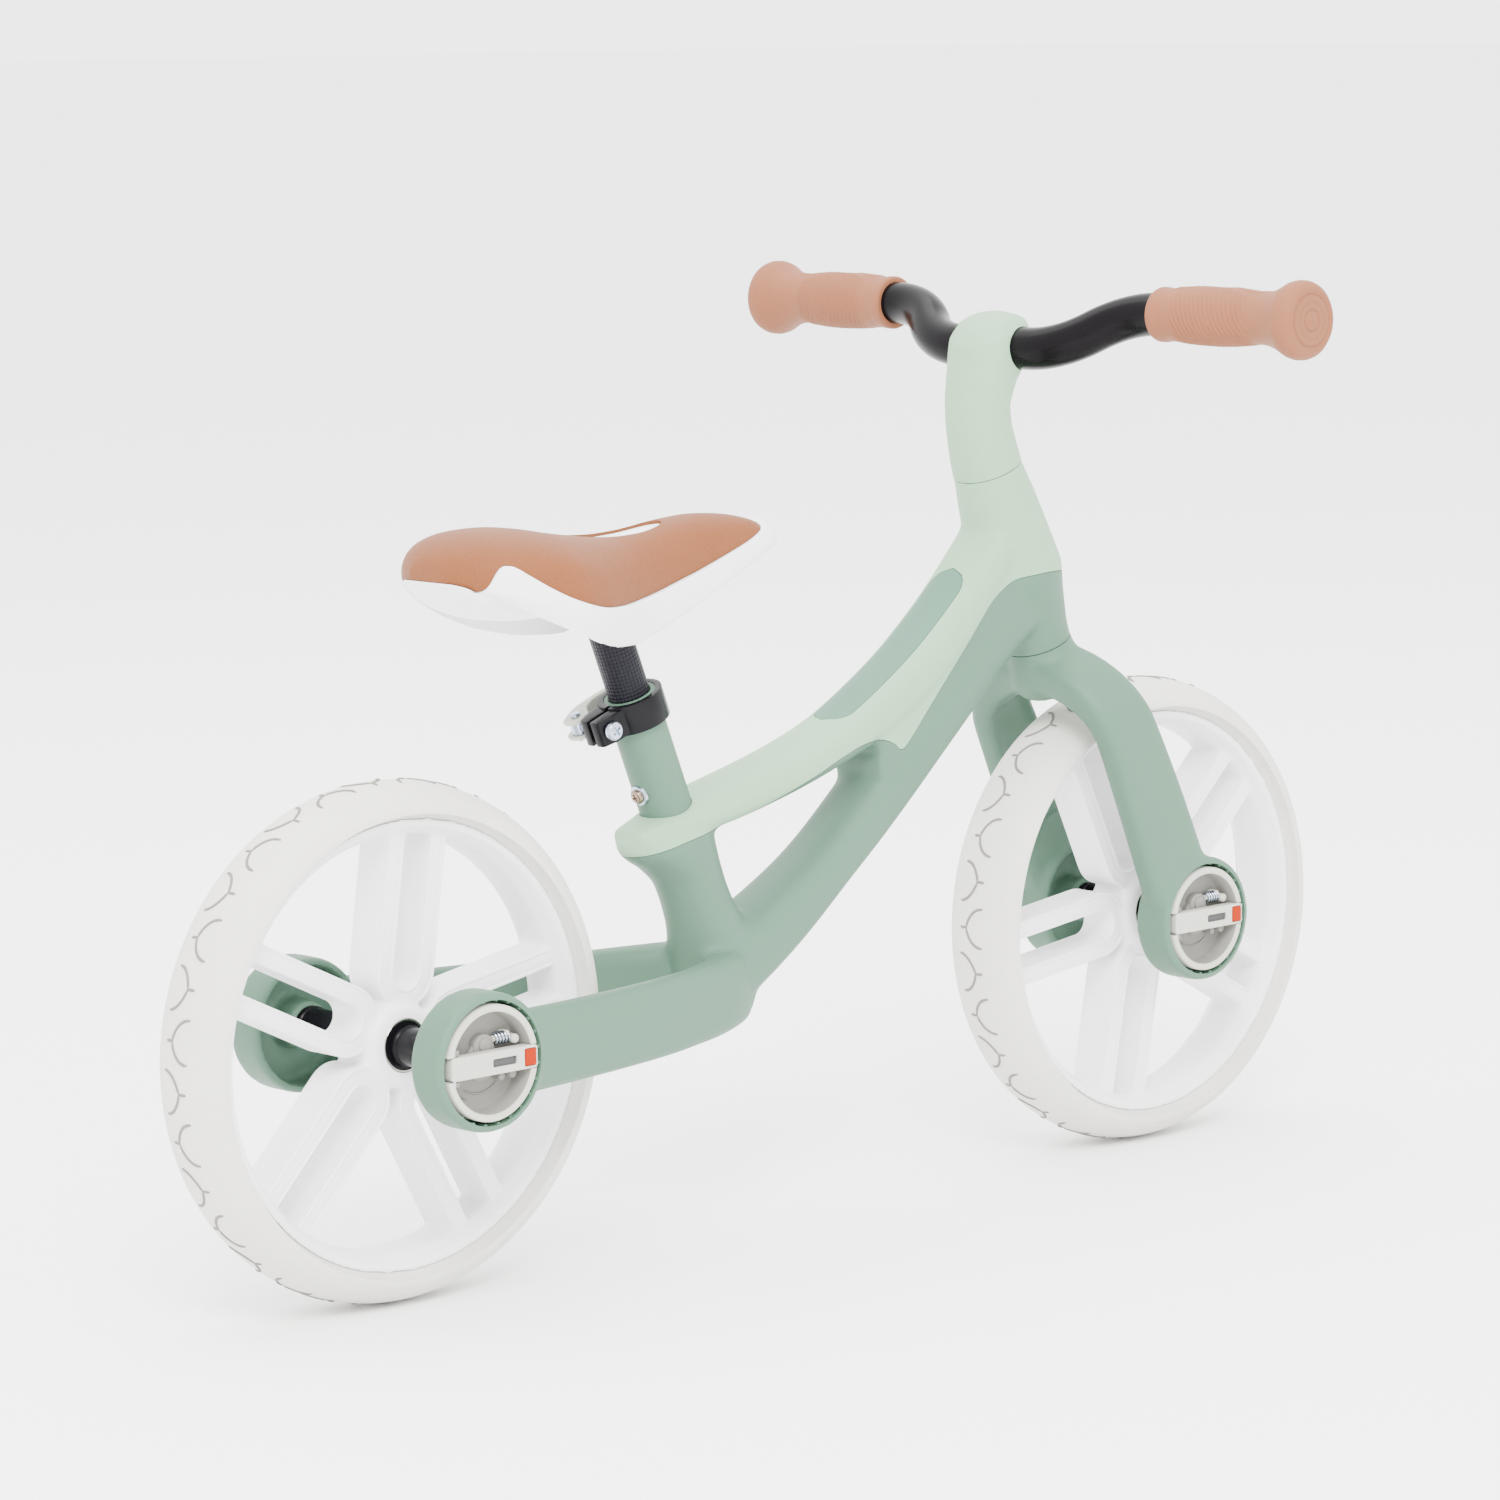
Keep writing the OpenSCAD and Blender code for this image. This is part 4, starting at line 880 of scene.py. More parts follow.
def gripBody(side):
    fine = []
    for (r0, z0), (r1, z1) in zip(gripProfile, gripProfile[1:]):
        count = max(1, round(math.hypot(r1 - r0, z1 - z0) / 0.7))
        fine += [(between(r0, r1, k / count), between(z0, z1, k / count)) for k in range(count)]
    fine.append(gripProfile[-1])
    obj = turned("gripLeft" if side > 0 else "gripRight", fine, upright, 112)
    for vert in obj.data.vertices:
        x, y, z = vert.co / mm
        radius, angle = math.hypot(x, y), math.atan2(y, x)
        if radius > 11.2 or z > 90:
            out, up = gripRelief(radius, angle, z)
            grow = (radius + out) / radius if radius > 0.01 else 1
            vert.co = Vector((x * grow, y * grow, z + up)) * mm
    smooth = obj.modifiers.new("smooth", "SMOOTH")
    smooth.factor = 0.4
    smooth.iterations = 1
    settled(obj)
    turn = Matrix.Rotation(math.radians(-40), 4, "Z")
    obj.data.transform(gripPlace(side) @ turn)
    if side < 0:
        obj.data.flip_normals()
    return obj


for side, node in ((1, "grip_left"), (-1, "grip_right")):
    finished(gripBody(side), "gripTan", "steering", (node,), 60)
print("bar and grips finished")


wheel = dict(voxel=1.3, smoothing=12, pairs=5, spokeWidth=34, leg=9, depth=22, phases=dict(rear=82, front=43),
             chevrons=16)
rimRadius = axleZ - bike["tyreHeight"]


def wheelPlace(x):
    return shifted(x, 0, axleZ) @ onSide


def bowLine(offset, root, tip, steps=14):   # the U of a twin spoke, offset from its middle line
    arc = [(root - offset * math.cos(a), offset * math.sin(a))
           for a in [math.pi * (k / steps - 0.5) for k in range(steps + 1)]]
    return [(tip, -offset)] + arc + [(tip, offset)]


def rimBody():
    edge = bike["rimWidth"] / 2
    band = turned("band", [
        (rimRadius, edge), (rimRadius - 3, edge - 4), (rimRadius - 3, 4 - edge), (rimRadius, -edge),
        (rimRadius - 4.2, -edge), (rimRadius - 6.2, -edge + 3.6), (rimRadius - 9, -edge + 8),
        (rimRadius - 9.4, 0), (rimRadius - 9, edge - 8), (rimRadius - 6.2, edge - 3.6),
                           (rimRadius - 4.2, edge)],
        upright, 160, ring=True)
    hub = turned("hub", [(0, -15), (15.5, -15), (18.5, -13.8), (21, -10), (21.5, 0), (21, 10), (18.5, 13.8),
                         (15.5, 15), (0, 15)], upright, 64)
    parts = [band, hub]
    root, tip = bike["hubRadius"] - 4 + wheel["spokeWidth"] / 2, rimRadius - bike["rimDepth"] + 2.5
    outer, inner = wheel["spokeWidth"] / 2, wheel["spokeWidth"] / 2 - wheel["leg"]
    outline = bowLine(outer, root, tip) + bowLine(inner, root, tip)[::-1]
    for k in range(wheel["pairs"]):
        turn = Matrix.Rotation(2 * math.pi * k / wheel["pairs"], 4, "Z")
        parts.append(slab("spoke", outline, -wheel["depth"] / 2, wheel["depth"] / 2, turn))
    rim = joined("rim", *parts)
    remeshed(rim, wheel["voxel"], wheel["smoothing"])
    for end in (-1, 1):
        combined(rim, drum("bearingRoom", 13.05, *sorted((end * 7, end * 20)), upright, 64))
    combined(rim, drum("axleRoom", 8, -20, 20, upright, 48))
    lips = []
    for k in range(wheel["pairs"]):
        turn = Matrix.Rotation(2 * math.pi * k / wheel["pairs"], 4, "Z")
        for offset in (inner + 0.9, outer - 0.9):
            for end in (-1, 1):
                z = end * (wheel["depth"] / 2 - 0.55)
                line = [Vector((x, y, z)) * mm for x, y in bowLine(offset, root, tip - 1.5, 18)]
                lips.append(rod("lip", line, 0.95, 8))
                lips[-1].data.transform(turn)
    return joined("rim", rim, *lips)


crownHalf, crownDepth, treadProud = bike["tyreWidth"] / 2, bike["tyreHeight"] - 2.6, 0.7


def tyreRadius(z):
    return axleZ - treadProud - crownDepth + crownDepth * math.sqrt(max(0, 1 - (z / crownHalf) ** 2))


chevron = dict(bead=0.8, reach=10.5, tail=4.5, spread=10.5, lift=-0.1)


def chevronArms(flip):                      # two curved arms and a short tail, laid on the tread
    arms = [
        [(flip * (-2.5 + chevron["reach"] * (k / 8) ** 1.5),
          chevron["spread"] * math.sin(math.pi / 2 * k / 8)) for k in range(9)],
        [(flip * (-2.5 + chevron["reach"] * (k / 8) ** 1.5),
          -chevron["spread"] * math.sin(math.pi / 2 * k / 8)) for k in range(9)],
        [(flip * (-2.5 - chevron["tail"] * k / 4), 0) for k in range(5)],
    ]
    beads = []
    for arm in arms:
        line = []
        for z, along in arm:
            angle = along / axleZ
            radius = tyreRadius(z) + chevron["lift"]
            line.append(Vector((radius * math.cos(angle), radius * math.sin(angle), z)) * mm)
        beads.append(rod("arm", line, chevron["bead"], 8, 0.55))
    return joined("chevron", *beads)


def tyreBody():
    profile = [(axleZ - treadProud - crownDepth + crownDepth * math.cos(math.radians(a)),
                crownHalf * math.sin(math.radians(a))) for a in range(-90, 91, 5)]
    profile = [(r - (0.5 if 21.2 < abs(z) < 21.9 else 0), z) for r, z in profile]
    edge = bike["rimWidth"] / 2
    profile += [(rimRadius + 1.2, edge + 1.2), (rimRadius, edge - 0.4), (rimRadius - 3, edge - 4),
                (rimRadius - 3, 4 - edge), (rimRadius, 0.4 - edge), (rimRadius + 1.2, -edge - 1.2)]
    tyre = turned("tyre", profile, upright, 200, ring=True)
    pieces, plain = [tyre], len(tyre.data.polygons)
    for flip, phase in ((1, 0.0), (-1, 0.5)):
        pattern = chevronArms(flip)
        for k in range(wheel["chevrons"]):
            shadeMark = copied(pattern, "shadeMark")
            shadeMark.data.transform(Matrix.Rotation(2 * math.pi * (k + phase) / wheel["chevrons"], 4, "Z"))
            pieces.append(shadeMark)
        bpy.data.objects.remove(pattern)
    tyre = joined("tyre", *pieces)
    # the chevron faces take the second finish, painted shade for the shading along the ribs
    for poly in tyre.data.polygons[plain:]:
        poly.material_index = 1
    return tyre


rimMaster, tyreMaster = rimBody(), tyreBody()
for end, x in (("rear", bike["rearX"]), ("front", bike["frontX"])):
    turn = Matrix.Rotation(math.radians(wheel["phases"][end]), 4, "Z")
    rim = copied(rimMaster, end + "Rim")
    rim.data.transform(wheelPlace(x) @ turn)
    finished(rim, "white", end + "_wheel", (end + "_rim",))
    tyre = copied(tyreMaster, end + "Tyre")
    tyre.data.transform(wheelPlace(x) @ turn)
    finished(tyre, ("tyre", "tyreChevronShade"), end + "_wheel", (end + "_tyre",))
for obj in (rimMaster, tyreMaster):
    bpy.data.objects.remove(obj)
print("wheels finished")


# Saddle: one outer form, parted into a soft tan pad and a white shell
saddle = dict(
    length=221, backShare=0.525, baseZ=304.1, pillow=1.4, pressure=4.0, frames=20, wall=3.0, seam=0.3,
    half=[(0, 12), (0.02, 25), (0.06, 36), (0.1, 43), (0.16, 49.5), (0.25, 54), (0.32, 51), (0.4, 44),
          (0.48, 36), (0.56, 30), (0.65, 26),
          (0.78, 23), (0.88, 20.5), (0.94, 17), (0.98, 12.5), (1, 8)],
    top=[(0, 47), (0.02, 51.5), (0.05, 56), (0.1, 59), (0.17, 59.2), (0.25, 57), (0.33, 53.5), (0.42, 50.5),
         (0.5, 49.8), (0.58, 51), (0.68, 54.2),
         (0.78, 56.4), (0.86, 56), (0.92, 53.8), (0.97, 49.5), (1, 44.5)],
    seamLine=[(-0.05, 36.8), (0, 36.4), (0.02, 35), (0.045, 32.8), (0.065, 41.2), (0.078, 44.4), (0.09, 44.8),
              (0.103, 43.2), (0.122, 39.9), (0.162, 34),
              (0.21, 28.6), (0.264, 24.4), (0.32, 21.9), (0.386, 21.0), (0.44, 21.2), (0.486, 22),
              (0.54, 23.4), (0.593, 25.6), (0.686, 30.4),
              (0.774, 36.2), (0.836, 40.7), (0.89, 44.8), (0.925, 47.8), (0.948, 50.6), (0.962, 54.5),
              (0.972, 60), (0.98, 68)],
    low=[(0, 34.5), (0.045, 31.8), (0.064, 30.3), (0.109, 24.2), (0.16, 17.5), (0.223, 10.3), (0.30, 3.4),
         (0.38, 0.1), (0.47, -1.0), (0.566, 3.3),
         (0.66, 10.2), (0.788, 21.8), (0.877, 29.8), (0.943, 35.5), (1, 38.5)],
    tub=[(0.004, 17, 35.2), (0.03, 27, 27.5), (0.07, 34, 20.5), (0.12, 39, 16.4), (0.18, 41.5, 14.6),
         (0.25, 42, 14.4), (0.32, 39, 15.6), (0.38, 34, 18), (0.43, 26, 24)],
    window=[(0.318, 0.4), (0.36, 3.4), (0.41, 6.4), (0.47, 8.6), (0.53, 9.6), (0.59, 9.2), (0.635, 7.4),
            (0.66, 4.8), (0.672, 1.2)],
)
saddleBack = seatPoint(bike["saddleS"]).x / mm - saddle["backShare"] * saddle["length"]


def saddleSpot(f, y, h):
    return Vector((saddleBack + f * saddle["length"], y, saddle["baseZ"] + h)) * mm


def saddleRing(f, inset=0.0, drop=0.0):     # the saddle's section at a share of its length
    half, top, low = (softRow(saddle[key], f, 0.012)[1] for key in ("half", "top", "low"))
    seam = softRow(saddle["seamLine"], max(f, 0.2), 0.03)[1]
    middle = min(seam - 2, top - 12) if f > 0.2 else between(34, seam - 2, f / 0.2)
    half, top = max(2, half - inset), top - drop
    middle = max(middle, low + 2)
    side, turns = [], 11
    for k in range(turns):
        a = math.pi / 2 * k / (turns - 1)
        side.append((half * math.sin(a) ** 0.92, middle + (top - middle) * math.cos(a) ** 0.62
                     if k < turns - 1 else middle))
    side += [(half * (1 - 0.13 * s ** 1.6), middle + (low - middle) * s) for s in (0.25, 0.5, 0.75, 1)]
    side += [(half * 0.83, low - 0.2), (half * 0.5, low + 0.4), (0, low + 0.6)]
    ring = side + [(-y, h) for y, h in side[-2:0:-1]]
    return [saddleSpot(f, y, h) for y, h in ring]


def hollowRing(f):                          # the room under the shell, a wall's thickness inside it
    wall, turns = saddle["wall"], 9
    half = max(1.5, softRow(saddle["half"], f, 0.012)[1] - wall)
    high = softRow(saddle["seamLine"], f, 0.02)[1] - 1
    low = softRow(saddle["low"], f, 0.012)[1] - 8
    side = [(half * math.sin(math.pi / 2 * k / (turns - 1)) ** 0.8,
             high + (2 if k == 0 else 0) - 2 * (k / (turns - 1)) ** 2) for k in range(turns)]
    side += [(half * (1 - 0.13 * min(1, s) ** 1.6), between(high - 2, low, s)) for s in (0.3, 0.6, 1.0)]
    side += [(0, low)]
    return [saddleSpot(f, y, h) for y, h in side + [(-y, h) for y, h in side[-2:0:-1]]]


def formed(name, sections):                 # bridges sections that have the same number of points
    bm = bmesh.new()
    made = []
    for points in sections:
        verts = bmesh.ops.create_circle(bm, segments=len(points), radius=1)["verts"]
        for vert, point in zip(verts, points):
            vert.co = point
        made.append(verts)
    return bridged(name, bm, made)


saddleSteps = [0, 0.008, 0.02, 0.035] + [k / 40 for k in range(2, 38)] + [0.945, 0.965, 0.982, 1.0]


def aboveSeam(name, drop):                  # everything over the line where the pad meets the shell
    line = smoothLine([(saddleBack + f * saddle["length"], saddle["baseZ"] + h - drop, 0) for f,
                       h in saddle["seamLine"]], 5)
    outline = [(p.x, p.y) for p in line]
    outline += [(outline[-1][0], saddle["baseZ"] + 90), (outline[0][0], saddle["baseZ"] + 90)]
    return slab(name, outline, -80, 80, onSide)


def windowRoom(name, extra, low=38):        # the leaf-shaped opening along the top
    upper = [(saddleBack + f * saddle["length"], half + extra) for f, half in saddle["window"]]
    line = [(p.x, p.y) for p in smoothLine([(x, y, 0) for x, y in upper], 5)]
    outline = line + [(x, -y) for x, y in line[::-1]]
    return slab(name, outline, saddle["baseZ"] + low, saddle["baseZ"] + 80, upright)


def pillowed(obj):                          # the pad swells like foam under its skin
    remeshed(obj, 4.0, 2)
    start = [v.co.copy() for v in obj.data.vertices]
    cloth = obj.modifiers.new("cloth", "CLOTH")
    cloth.settings.use_pressure = True
    cloth.settings.uniform_pressure_force = saddle["pressure"]
    cloth.settings.effector_weights.gravity = 0
    cloth.settings.tension_stiffness = 40
    cloth.settings.compression_stiffness = 40
    cloth.settings.bending_stiffness = 4
    cloth.point_cache.frame_start = 1
    cloth.point_cache.frame_end = saddle["frames"]
    for frameNumber in range(1, saddle["frames"] + 1):
        scene.frame_set(frameNumber)
    settled(obj)
    scene.frame_set(1)
    cap = saddle["pillow"] * mm
    for vert, origin in zip(obj.data.vertices, start):
        move = vert.co - origin
        if move.length > cap:
            vert.co = origin + move.normalized() * cap
    return obj


def saddlePieces():
    outer = formed("outer", [saddleRing(f) for f in saddleSteps])
    remeshed(outer, 1.5, 6)
    pad = formed("saddlePad", [saddleRing(f, 0.7, 0.7) for f in saddleSteps])
    combined(pad, aboveSeam("padRoom", 9), "INTERSECT")
    pillowed(pad)
    smooth = pad.modifiers.new("smooth", "SUBSURF")
    smooth.levels = smooth.render_levels = 1
    settled(pad)
    remeshed(pad, 1.5, 5)
    combined(pad, aboveSeam("padEdge", -saddle["seam"] / 2), "INTERSECT")
    combined(pad, windowRoom("window", 0))
    strip = copied(outer, "strip")
    combined(strip, windowRoom("stripRoom", -0.25, 36), "INTERSECT")
    strip.data.transform(shifted(0, 0, -1.1))
    shell = copied(outer, "saddleShell")
    combined(shell, aboveSeam("shellEdge", saddle["seam"] / 2))
    hollow = formed("hollow", [hollowRing(f) for f in saddleSteps[3:-3]])
    combined(shell, hollow)
    tub = lofted("tub", [(saddleSpot(f, 0, 38), (0, 1, 0), (0, 0, 1), half * mm, (38 - low) * mm) for f, half,
                         low in saddle["tub"]], 56, 0.85)
    remeshed(tub, 1.5, 8)
    combined(tub, aboveSeam("tubEdge", saddle["seam"] / 2 + 0.4))
    combined(tub, drum("postRoom", bike["postRadius"] + 0.6, 120, 205, seatPlace()))
    shell = joined("saddleShell", shell, tub, strip)
    bpy.data.objects.remove(outer)
    return pad, shell


pad, shell = saddlePieces()
finished(pad, "saddleTan", "saddle", ("saddle_pad",), 50)
finished(shell, "saddleWhite", "saddle", ("saddle_shell",))
print("saddle finished", len(pad.data.polygons), len(shell.data.polygons))


# Release dials: a bowl with a fold-out lever across it, drawn facing up and then set on the axle
dial = dict(
    radius=27.5, ring=24.0, floor=-11, bossTop=-7, slotHalf=5.8, slotFloor=-7.2, hinge=-22, leverTop=0.6,
            leverThick=6.5, leverHalf=5.5,
    leverTip=26.9, leverSlotX=6.8, buttonX=22.25, button=(6.5, 8), springTurns=4.5,
)


def roundedOutline(x0, x1, half, radius):
    steps = 6
    corners = [(x1 - radius, half - radius, 0), (x0 + radius, half - radius, 90),
               (x0 + radius, radius - half, 180), (x1 - radius, radius - half, 270)]
    return [(cx + radius * math.cos(math.radians(start + 90 * k / steps)),
             cy + radius * math.sin(math.radians(start + 90 * k / steps)))
            for cx, cy, start in corners for k in range(steps + 1)]


def pegAt(x, y, radius, low, high, soft=0.5):
    return turned("peg", [(0, low), (radius, low), (radius, high - soft),
                          (radius - soft * 0.3, high - soft * 0.3), (radius - soft, high), (0, high)],
                  shifted(x, y, 0), 28)


def dialBody():
    radius, ring, floor = dial["radius"], dial["ring"], dial["floor"]
    profile = [
        (0, dial["bossTop"]), (5.2, dial["bossTop"]), (5.6, -7.5), (8.6, -7.5), (9.5, -8.2),
               (9.5, floor + 0.4), (10.1, floor), (21, floor),
        (22.8, floor + 0.6), (23.6, floor + 2.2), (ring, -0.5), (ring + 0.5, 0), (radius - 0.5, 0),
               (radius, -0.5), (radius, -14), (5.3, -14), (5.3, -8.2), (0, -8.2),
    ]
    body = turned("dial", profile, upright, 144)
    combined(body, block("leverSlot", (70, 2 * dial["slotHalf"], 20), (0, 0, dial["slotFloor"] + 10),
                         upright))
    for poly in body.data.polygons:
        poly.material_index = 1 if math.hypot(poly.center.x, poly.center.y) > (ring - 0.2) * mm else 0
    lugs = [bevelled(block("lug", (6, 2.6, 10), (dial["hinge"], end * 7.4, -6.5), upright), 0.5)
            for end in (-1, 1)]
    arcs = [rod("arc", [Vector((r * math.cos(math.radians(a)), r * math.sin(math.radians(a)),
                                floor + 0.1)) * mm for a in range(low, high, 6)], 0.55, 8, 0.4)
            for r, low, high in ((15.5, 236, 318), (19, 200, 250), (13, 24, 76))]
    pegs = [pegAt(0.5, 6.5, 6.2, floor, -7.0), pegAt(1, 7.5, 3.6, floor, -6.2),
            pegAt(10, -8.4, 1.9, floor, -5.6), pegAt(16, -7.6, 2.1, floor, -4.6)]
    return joined("dial", body, *lugs, *arcs, *pegs)


def springBody():                           # the latch's coil, lying along the lever
    steps = 90
    turns = [2 * math.pi * dial["springTurns"] * k / steps for k in range(steps + 1)]
    line = [Vector((6.5 + 8.5 * k / steps, 9.8 + 2.5 * math.cos(a), -7.6 + 2.5 * math.sin(a))) * mm for k,
            a in enumerate(turns)]
    return rod("spring", line, 0.62, 8)


def latchBody():
    core = turned("core", [(0, 0), (1.5, 0), (1.5, 11), (1.2, 11.4), (0, 11.4)],
                  shifted(5.5, 9.8, -7.6) @ Matrix.Rotation(math.pi / 2, 4, "Y"), 24)
    return joined("latch", core, pegAt(17.2, 8.8, 2.2, dial["floor"], -3.6, 0.9),
                  pegAt(13.6, 11.6, 1.5, dial["floor"], -5.4))


def leverBody():
    top, half = dial["leverTop"], dial["leverHalf"]
    body = slab("lever", roundedOutline(dial["hinge"] - 3.2, dial["leverTip"], half, 1.8),
                top - dial["leverThick"], top, upright)
    bevelled(body, 0.7, 3, 50)
    combined(body, slab("leverSlotRoom", roundedOutline(dial["leverSlotX"] - 7.4, dial["leverSlotX"] + 7.4, 2.0, 1.1),
                        top - 1.5, top + 2, upright))
    combined(body, slab("buttonRoom", roundedOutline(dial["buttonX"] - 3.6, dial["buttonX"] + 3.6, 4.3, 0.9),
                        top - 5.4, top + 2, upright))
    combined(body, block("fingerNotch", (9, 3.4, 5), (12, -half - 0.7, top - dial["leverThick"]), upright))
    count = len(body.data.polygons)
    # a thin dark sheet on the slot's floor takes the second finish: painted shade standing in for the slot's
    # depth
    shadeMark = slab("shadeMark", roundedOutline(dial["leverSlotX"] - 7.35, dial["leverSlotX"] + 7.35, 1.95, 1.05), top - 1.6,
                top - 1.0, upright)
    body = joined("lever", body, shadeMark)
    for poly in body.data.polygons[count:]:
        poly.material_index = 1
    return body


def buttonBody():
    long, wide = dial["button"]
    body = slab("button", roundedOutline(dial["buttonX"] - long / 2, dial["buttonX"] + long / 2, wide / 2,
                                         1.0), dial["leverTop"] - 3.5, dial["leverTop"] + 0.7, upright)
    return bevelled(body, 0.8, 4, 50)


bearing = dict(outer=13, bore=5.05, width=8)


def bearingBody():                          # two races and a black seal, one at each end of the hub
    out, half = bearing["outer"], bearing["width"] / 2
    profile = [(bearing["bore"], -half), (out - 0.4, -half), (out, 0.4 - half), (out, half - 0.4),
               (out - 0.4, half), (11.9, half), (11.7, half - 0.5),
               (7.3, half - 0.5), (7.1, half), (bearing["bore"], half)]
    parts = []
    for end in (-1, 1):
        turn = upright if end > 0 else Matrix.Rotation(math.pi, 4, "X")
        parts.append(turned("bearing", profile, turn @ shifted(0, 0, bike["hubWidth"] / 2 - half + 0.05), 72,
                            ring=True))
    body = joined("bearings", *parts)
    for poly in body.data.polygons:
        r, z = math.hypot(poly.center.x, poly.center.y) / mm, abs(poly.center.z) / mm
        poly.material_index = 1 if 7.2 < r < 11.8 and abs(poly.normal.z) > 0.9 and z > 14 else 0
    return body


def spacerBody(x, half):
    low, high = bike["hubWidth"] / 2 + 0.3, half - bike["housingDepth"]
    profile = [(5.1, low), (8.4, low), (8.6, low + 0.8), (9.6, low + 1.0), (10, low + 1.5), (10, low + 3),
               (9.3, low + 3.6), (9.3, high - 3.4), (10, high - 2.8), (10, high), (5.1, high)]
    place = shifted(x, 0, axleZ)
    return joined("spacers", *[turned("spacer", profile, place @ Matrix.Rotation(end * math.pi / 2, 4, "X"),
                                      64, ring=True) for end in (-1, 1)])


def axleBody(x, half):                      # rod with a flat head and a six-sided key hole on the left
    place = axlePlace(x, half, 1)
    body = turned("axle", [(0, -2 * half + 7.6), (4.6, -2 * half + 7.6), (5, -2 * half + 8.1), (5, -3.1),
                           (11.2, -3.1), (12, -2.6), (12, -1.2), (11.3, -0.5), (6.4, -0.5), (5.6, -1.0),
                           (0, -1.0)], place, 72)
    key = slab("key", [(3.2 * math.cos(math.radians(60 * k)), 3.2 * math.sin(math.radians(60 * k)))
                       for k in range(6)], -2.7, 1, place)
    return combined(body, key)


for end, x, half in (("rear", bike["rearX"], bike["rearHalf"]), ("front", bike["frontX"], bike["frontHalf"])):
    place = axlePlace(x, half, -1)
    holder = "frame" if end == "rear" else "steering"
    for part, make, finish, rider, node, slotName in (
        ("Dial", dialBody, ("dial", "lever"), end + "_dial", end + "_dial", "dial_grey"),
        ("Spring", springBody, "zinc", end + "_dial", end + "_dial_spring", "zinc"),
        ("Latch", latchBody, "lever", end + "_dial", end + "_dial_latch", "zinc"),
        ("Lever", leverBody, ("lever", "slotShade"), end + "_dial_lever", end + "_dial_lever", "lever_grey"),
        ("Button", buttonBody, "button", end + "_dial_button", end + "_dial_button", "button_red"),
    ):
        obj = make()
        obj.name = end + part
        obj.data.transform(place)
        finished(obj, finish, rider, (node,), 45)
    obj = bearingBody()
    obj.name = end + "Bearings"
    obj.data.transform(wheelPlace(x))
    finished(obj, ("steel", "blackPlastic"), end + "_wheel", (end + "_hub_bearings",))
    obj = spacerBody(x, half)
    obj.name = end + "Spacers"
    finished(obj, "blackPlastic", holder, (end + "_spacers",))
    obj = axleBody(x, half)
    obj.name = end + "Axle"
    finished(obj, "axleSteel", holder, (end + "_axle",))
print("dials and hubs finished")

# Seat tube with its screw, clamp collar and cam lever
clamp = dict(
    along=154.0, inner=13.3, outer=16.45, high=15.0, earX=-23.45, earHalf=9.0, slot=2.4, barrelY=16.0,
             boltRadius=2.5, headRadius=4.6,
    lever=[(-25.4, 22), (-17, 25.6), (-9, 26.6), (2, 26.6), (12, 24.6), (17.2, 20), (15, 18.4), (9, 21.2),
           (-3, 22.6), (-12, 19.6), (-18.5, 11.5), (-24, 10), (-29.4, 14), (-29, 19.4)],
)


def crossHead(radius, high, place, soft=1.1):       # domed head with a cross recess
    head = turned("head", [(0, 0), (radius, 0), (radius, high - soft),
                           (radius - 0.35 * soft, high - 0.4 * soft), (radius - 1.1 * soft, high - 0.05),
                           (0, high)], upright, 40)
    for turn in (0, math.pi / 2):
        arm = block("cross", (radius * 1.15, radius * 0.24, high), (0, 0, high + high / 2 - 1.1),
                    Matrix.Rotation(turn + 0.35, 4, "Z"))
        combined(head, arm)
    head.data.transform(place)
    return head


def collarBody():
    high = clamp["high"] / 2
    ring = turned("collar", [(clamp["inner"], -high), (clamp["outer"], -high), (clamp["outer"], high),
                             (clamp["inner"], high)], upright, 96, ring=True)
    x, half = clamp["earX"], clamp["earHalf"]
    ears = slab("ears", [(-12.6, half), (x + 1, half), (x - 5.4, half - 2.6), (x - 6, half - 4),
                         (x - 6, 4 - half), (x - 5.4, 2.6 - half), (x + 1, -half), (-12.6, -half)], 1 - high,
                high - 1, upright)
    combined(ring, ears, "UNION")
    combined(ring, drum("inside", clamp["inner"], -20, 20, upright))
    combined(ring, block("slot", (30, clamp["slot"], 40), (x - 5, 0, 0), upright))
    combined(ring, drum("boltRoom", clamp["boltRadius"] + 0.05, -30, 30, shifted(x, 0, 0) @ onSide, 40))
    bevelled(ring, 0.55, 3, 40)
    return ring


def camLever():
    x, y = clamp["earX"], clamp["barrelY"]
    line = smoothLine([(a, b, 0) for a, b in clamp["lever"]], 5, True)
    arm = slab("arm", [(p.x, p.y) for p in line][::-1], -5.2, 5.2, upright)
    bevelled(arm, 1.0, 3, 50)
    at = shifted(x, y, 0)
    combined(arm, drum("barrelRoom", 8.5, -3.3, 3.3, at, 64))
    combined(arm, drum("pinRoom", 1.6, -20, 20, at, 32))
    combined(arm, drum("collarRoom", clamp["outer"] + 1.2, -20, 20, upright))
    return combined(arm, block("earRoom", (30, 10, 40), (x - 7, clamp["earHalf"] - 4.7, 0), upright))


def collarBolt():
    side = shifted(clamp["earX"], 0, 0) @ onSide
    shank = turned("shank", [(0, -14.4), (2.2, -14.4), (2.5, -14), (2.5, clamp["earHalf"]),
                             (0, clamp["earHalf"])], side, 32)
    return joined("collarBolt", shank,
                  crossHead(clamp["headRadius"], 3.2, side @ shifted(0, 0, clamp["earHalf"])))


def leverPin():
    at = shifted(clamp["earX"], clamp["barrelY"], 0)
    high = clamp["high"] / 2
    return turned("leverPin", [(0, -high - 0.1), (1.9, -high + 0.2), (2.6, -high + 0.7), (2.6, -5.6),
                               (1.5, -5.6), (1.5, 5.6), (2.6, 5.6), (2.6, high - 0.7), (1.9, high - 0.2),
                               (0, high + 0.1)], at, 32)


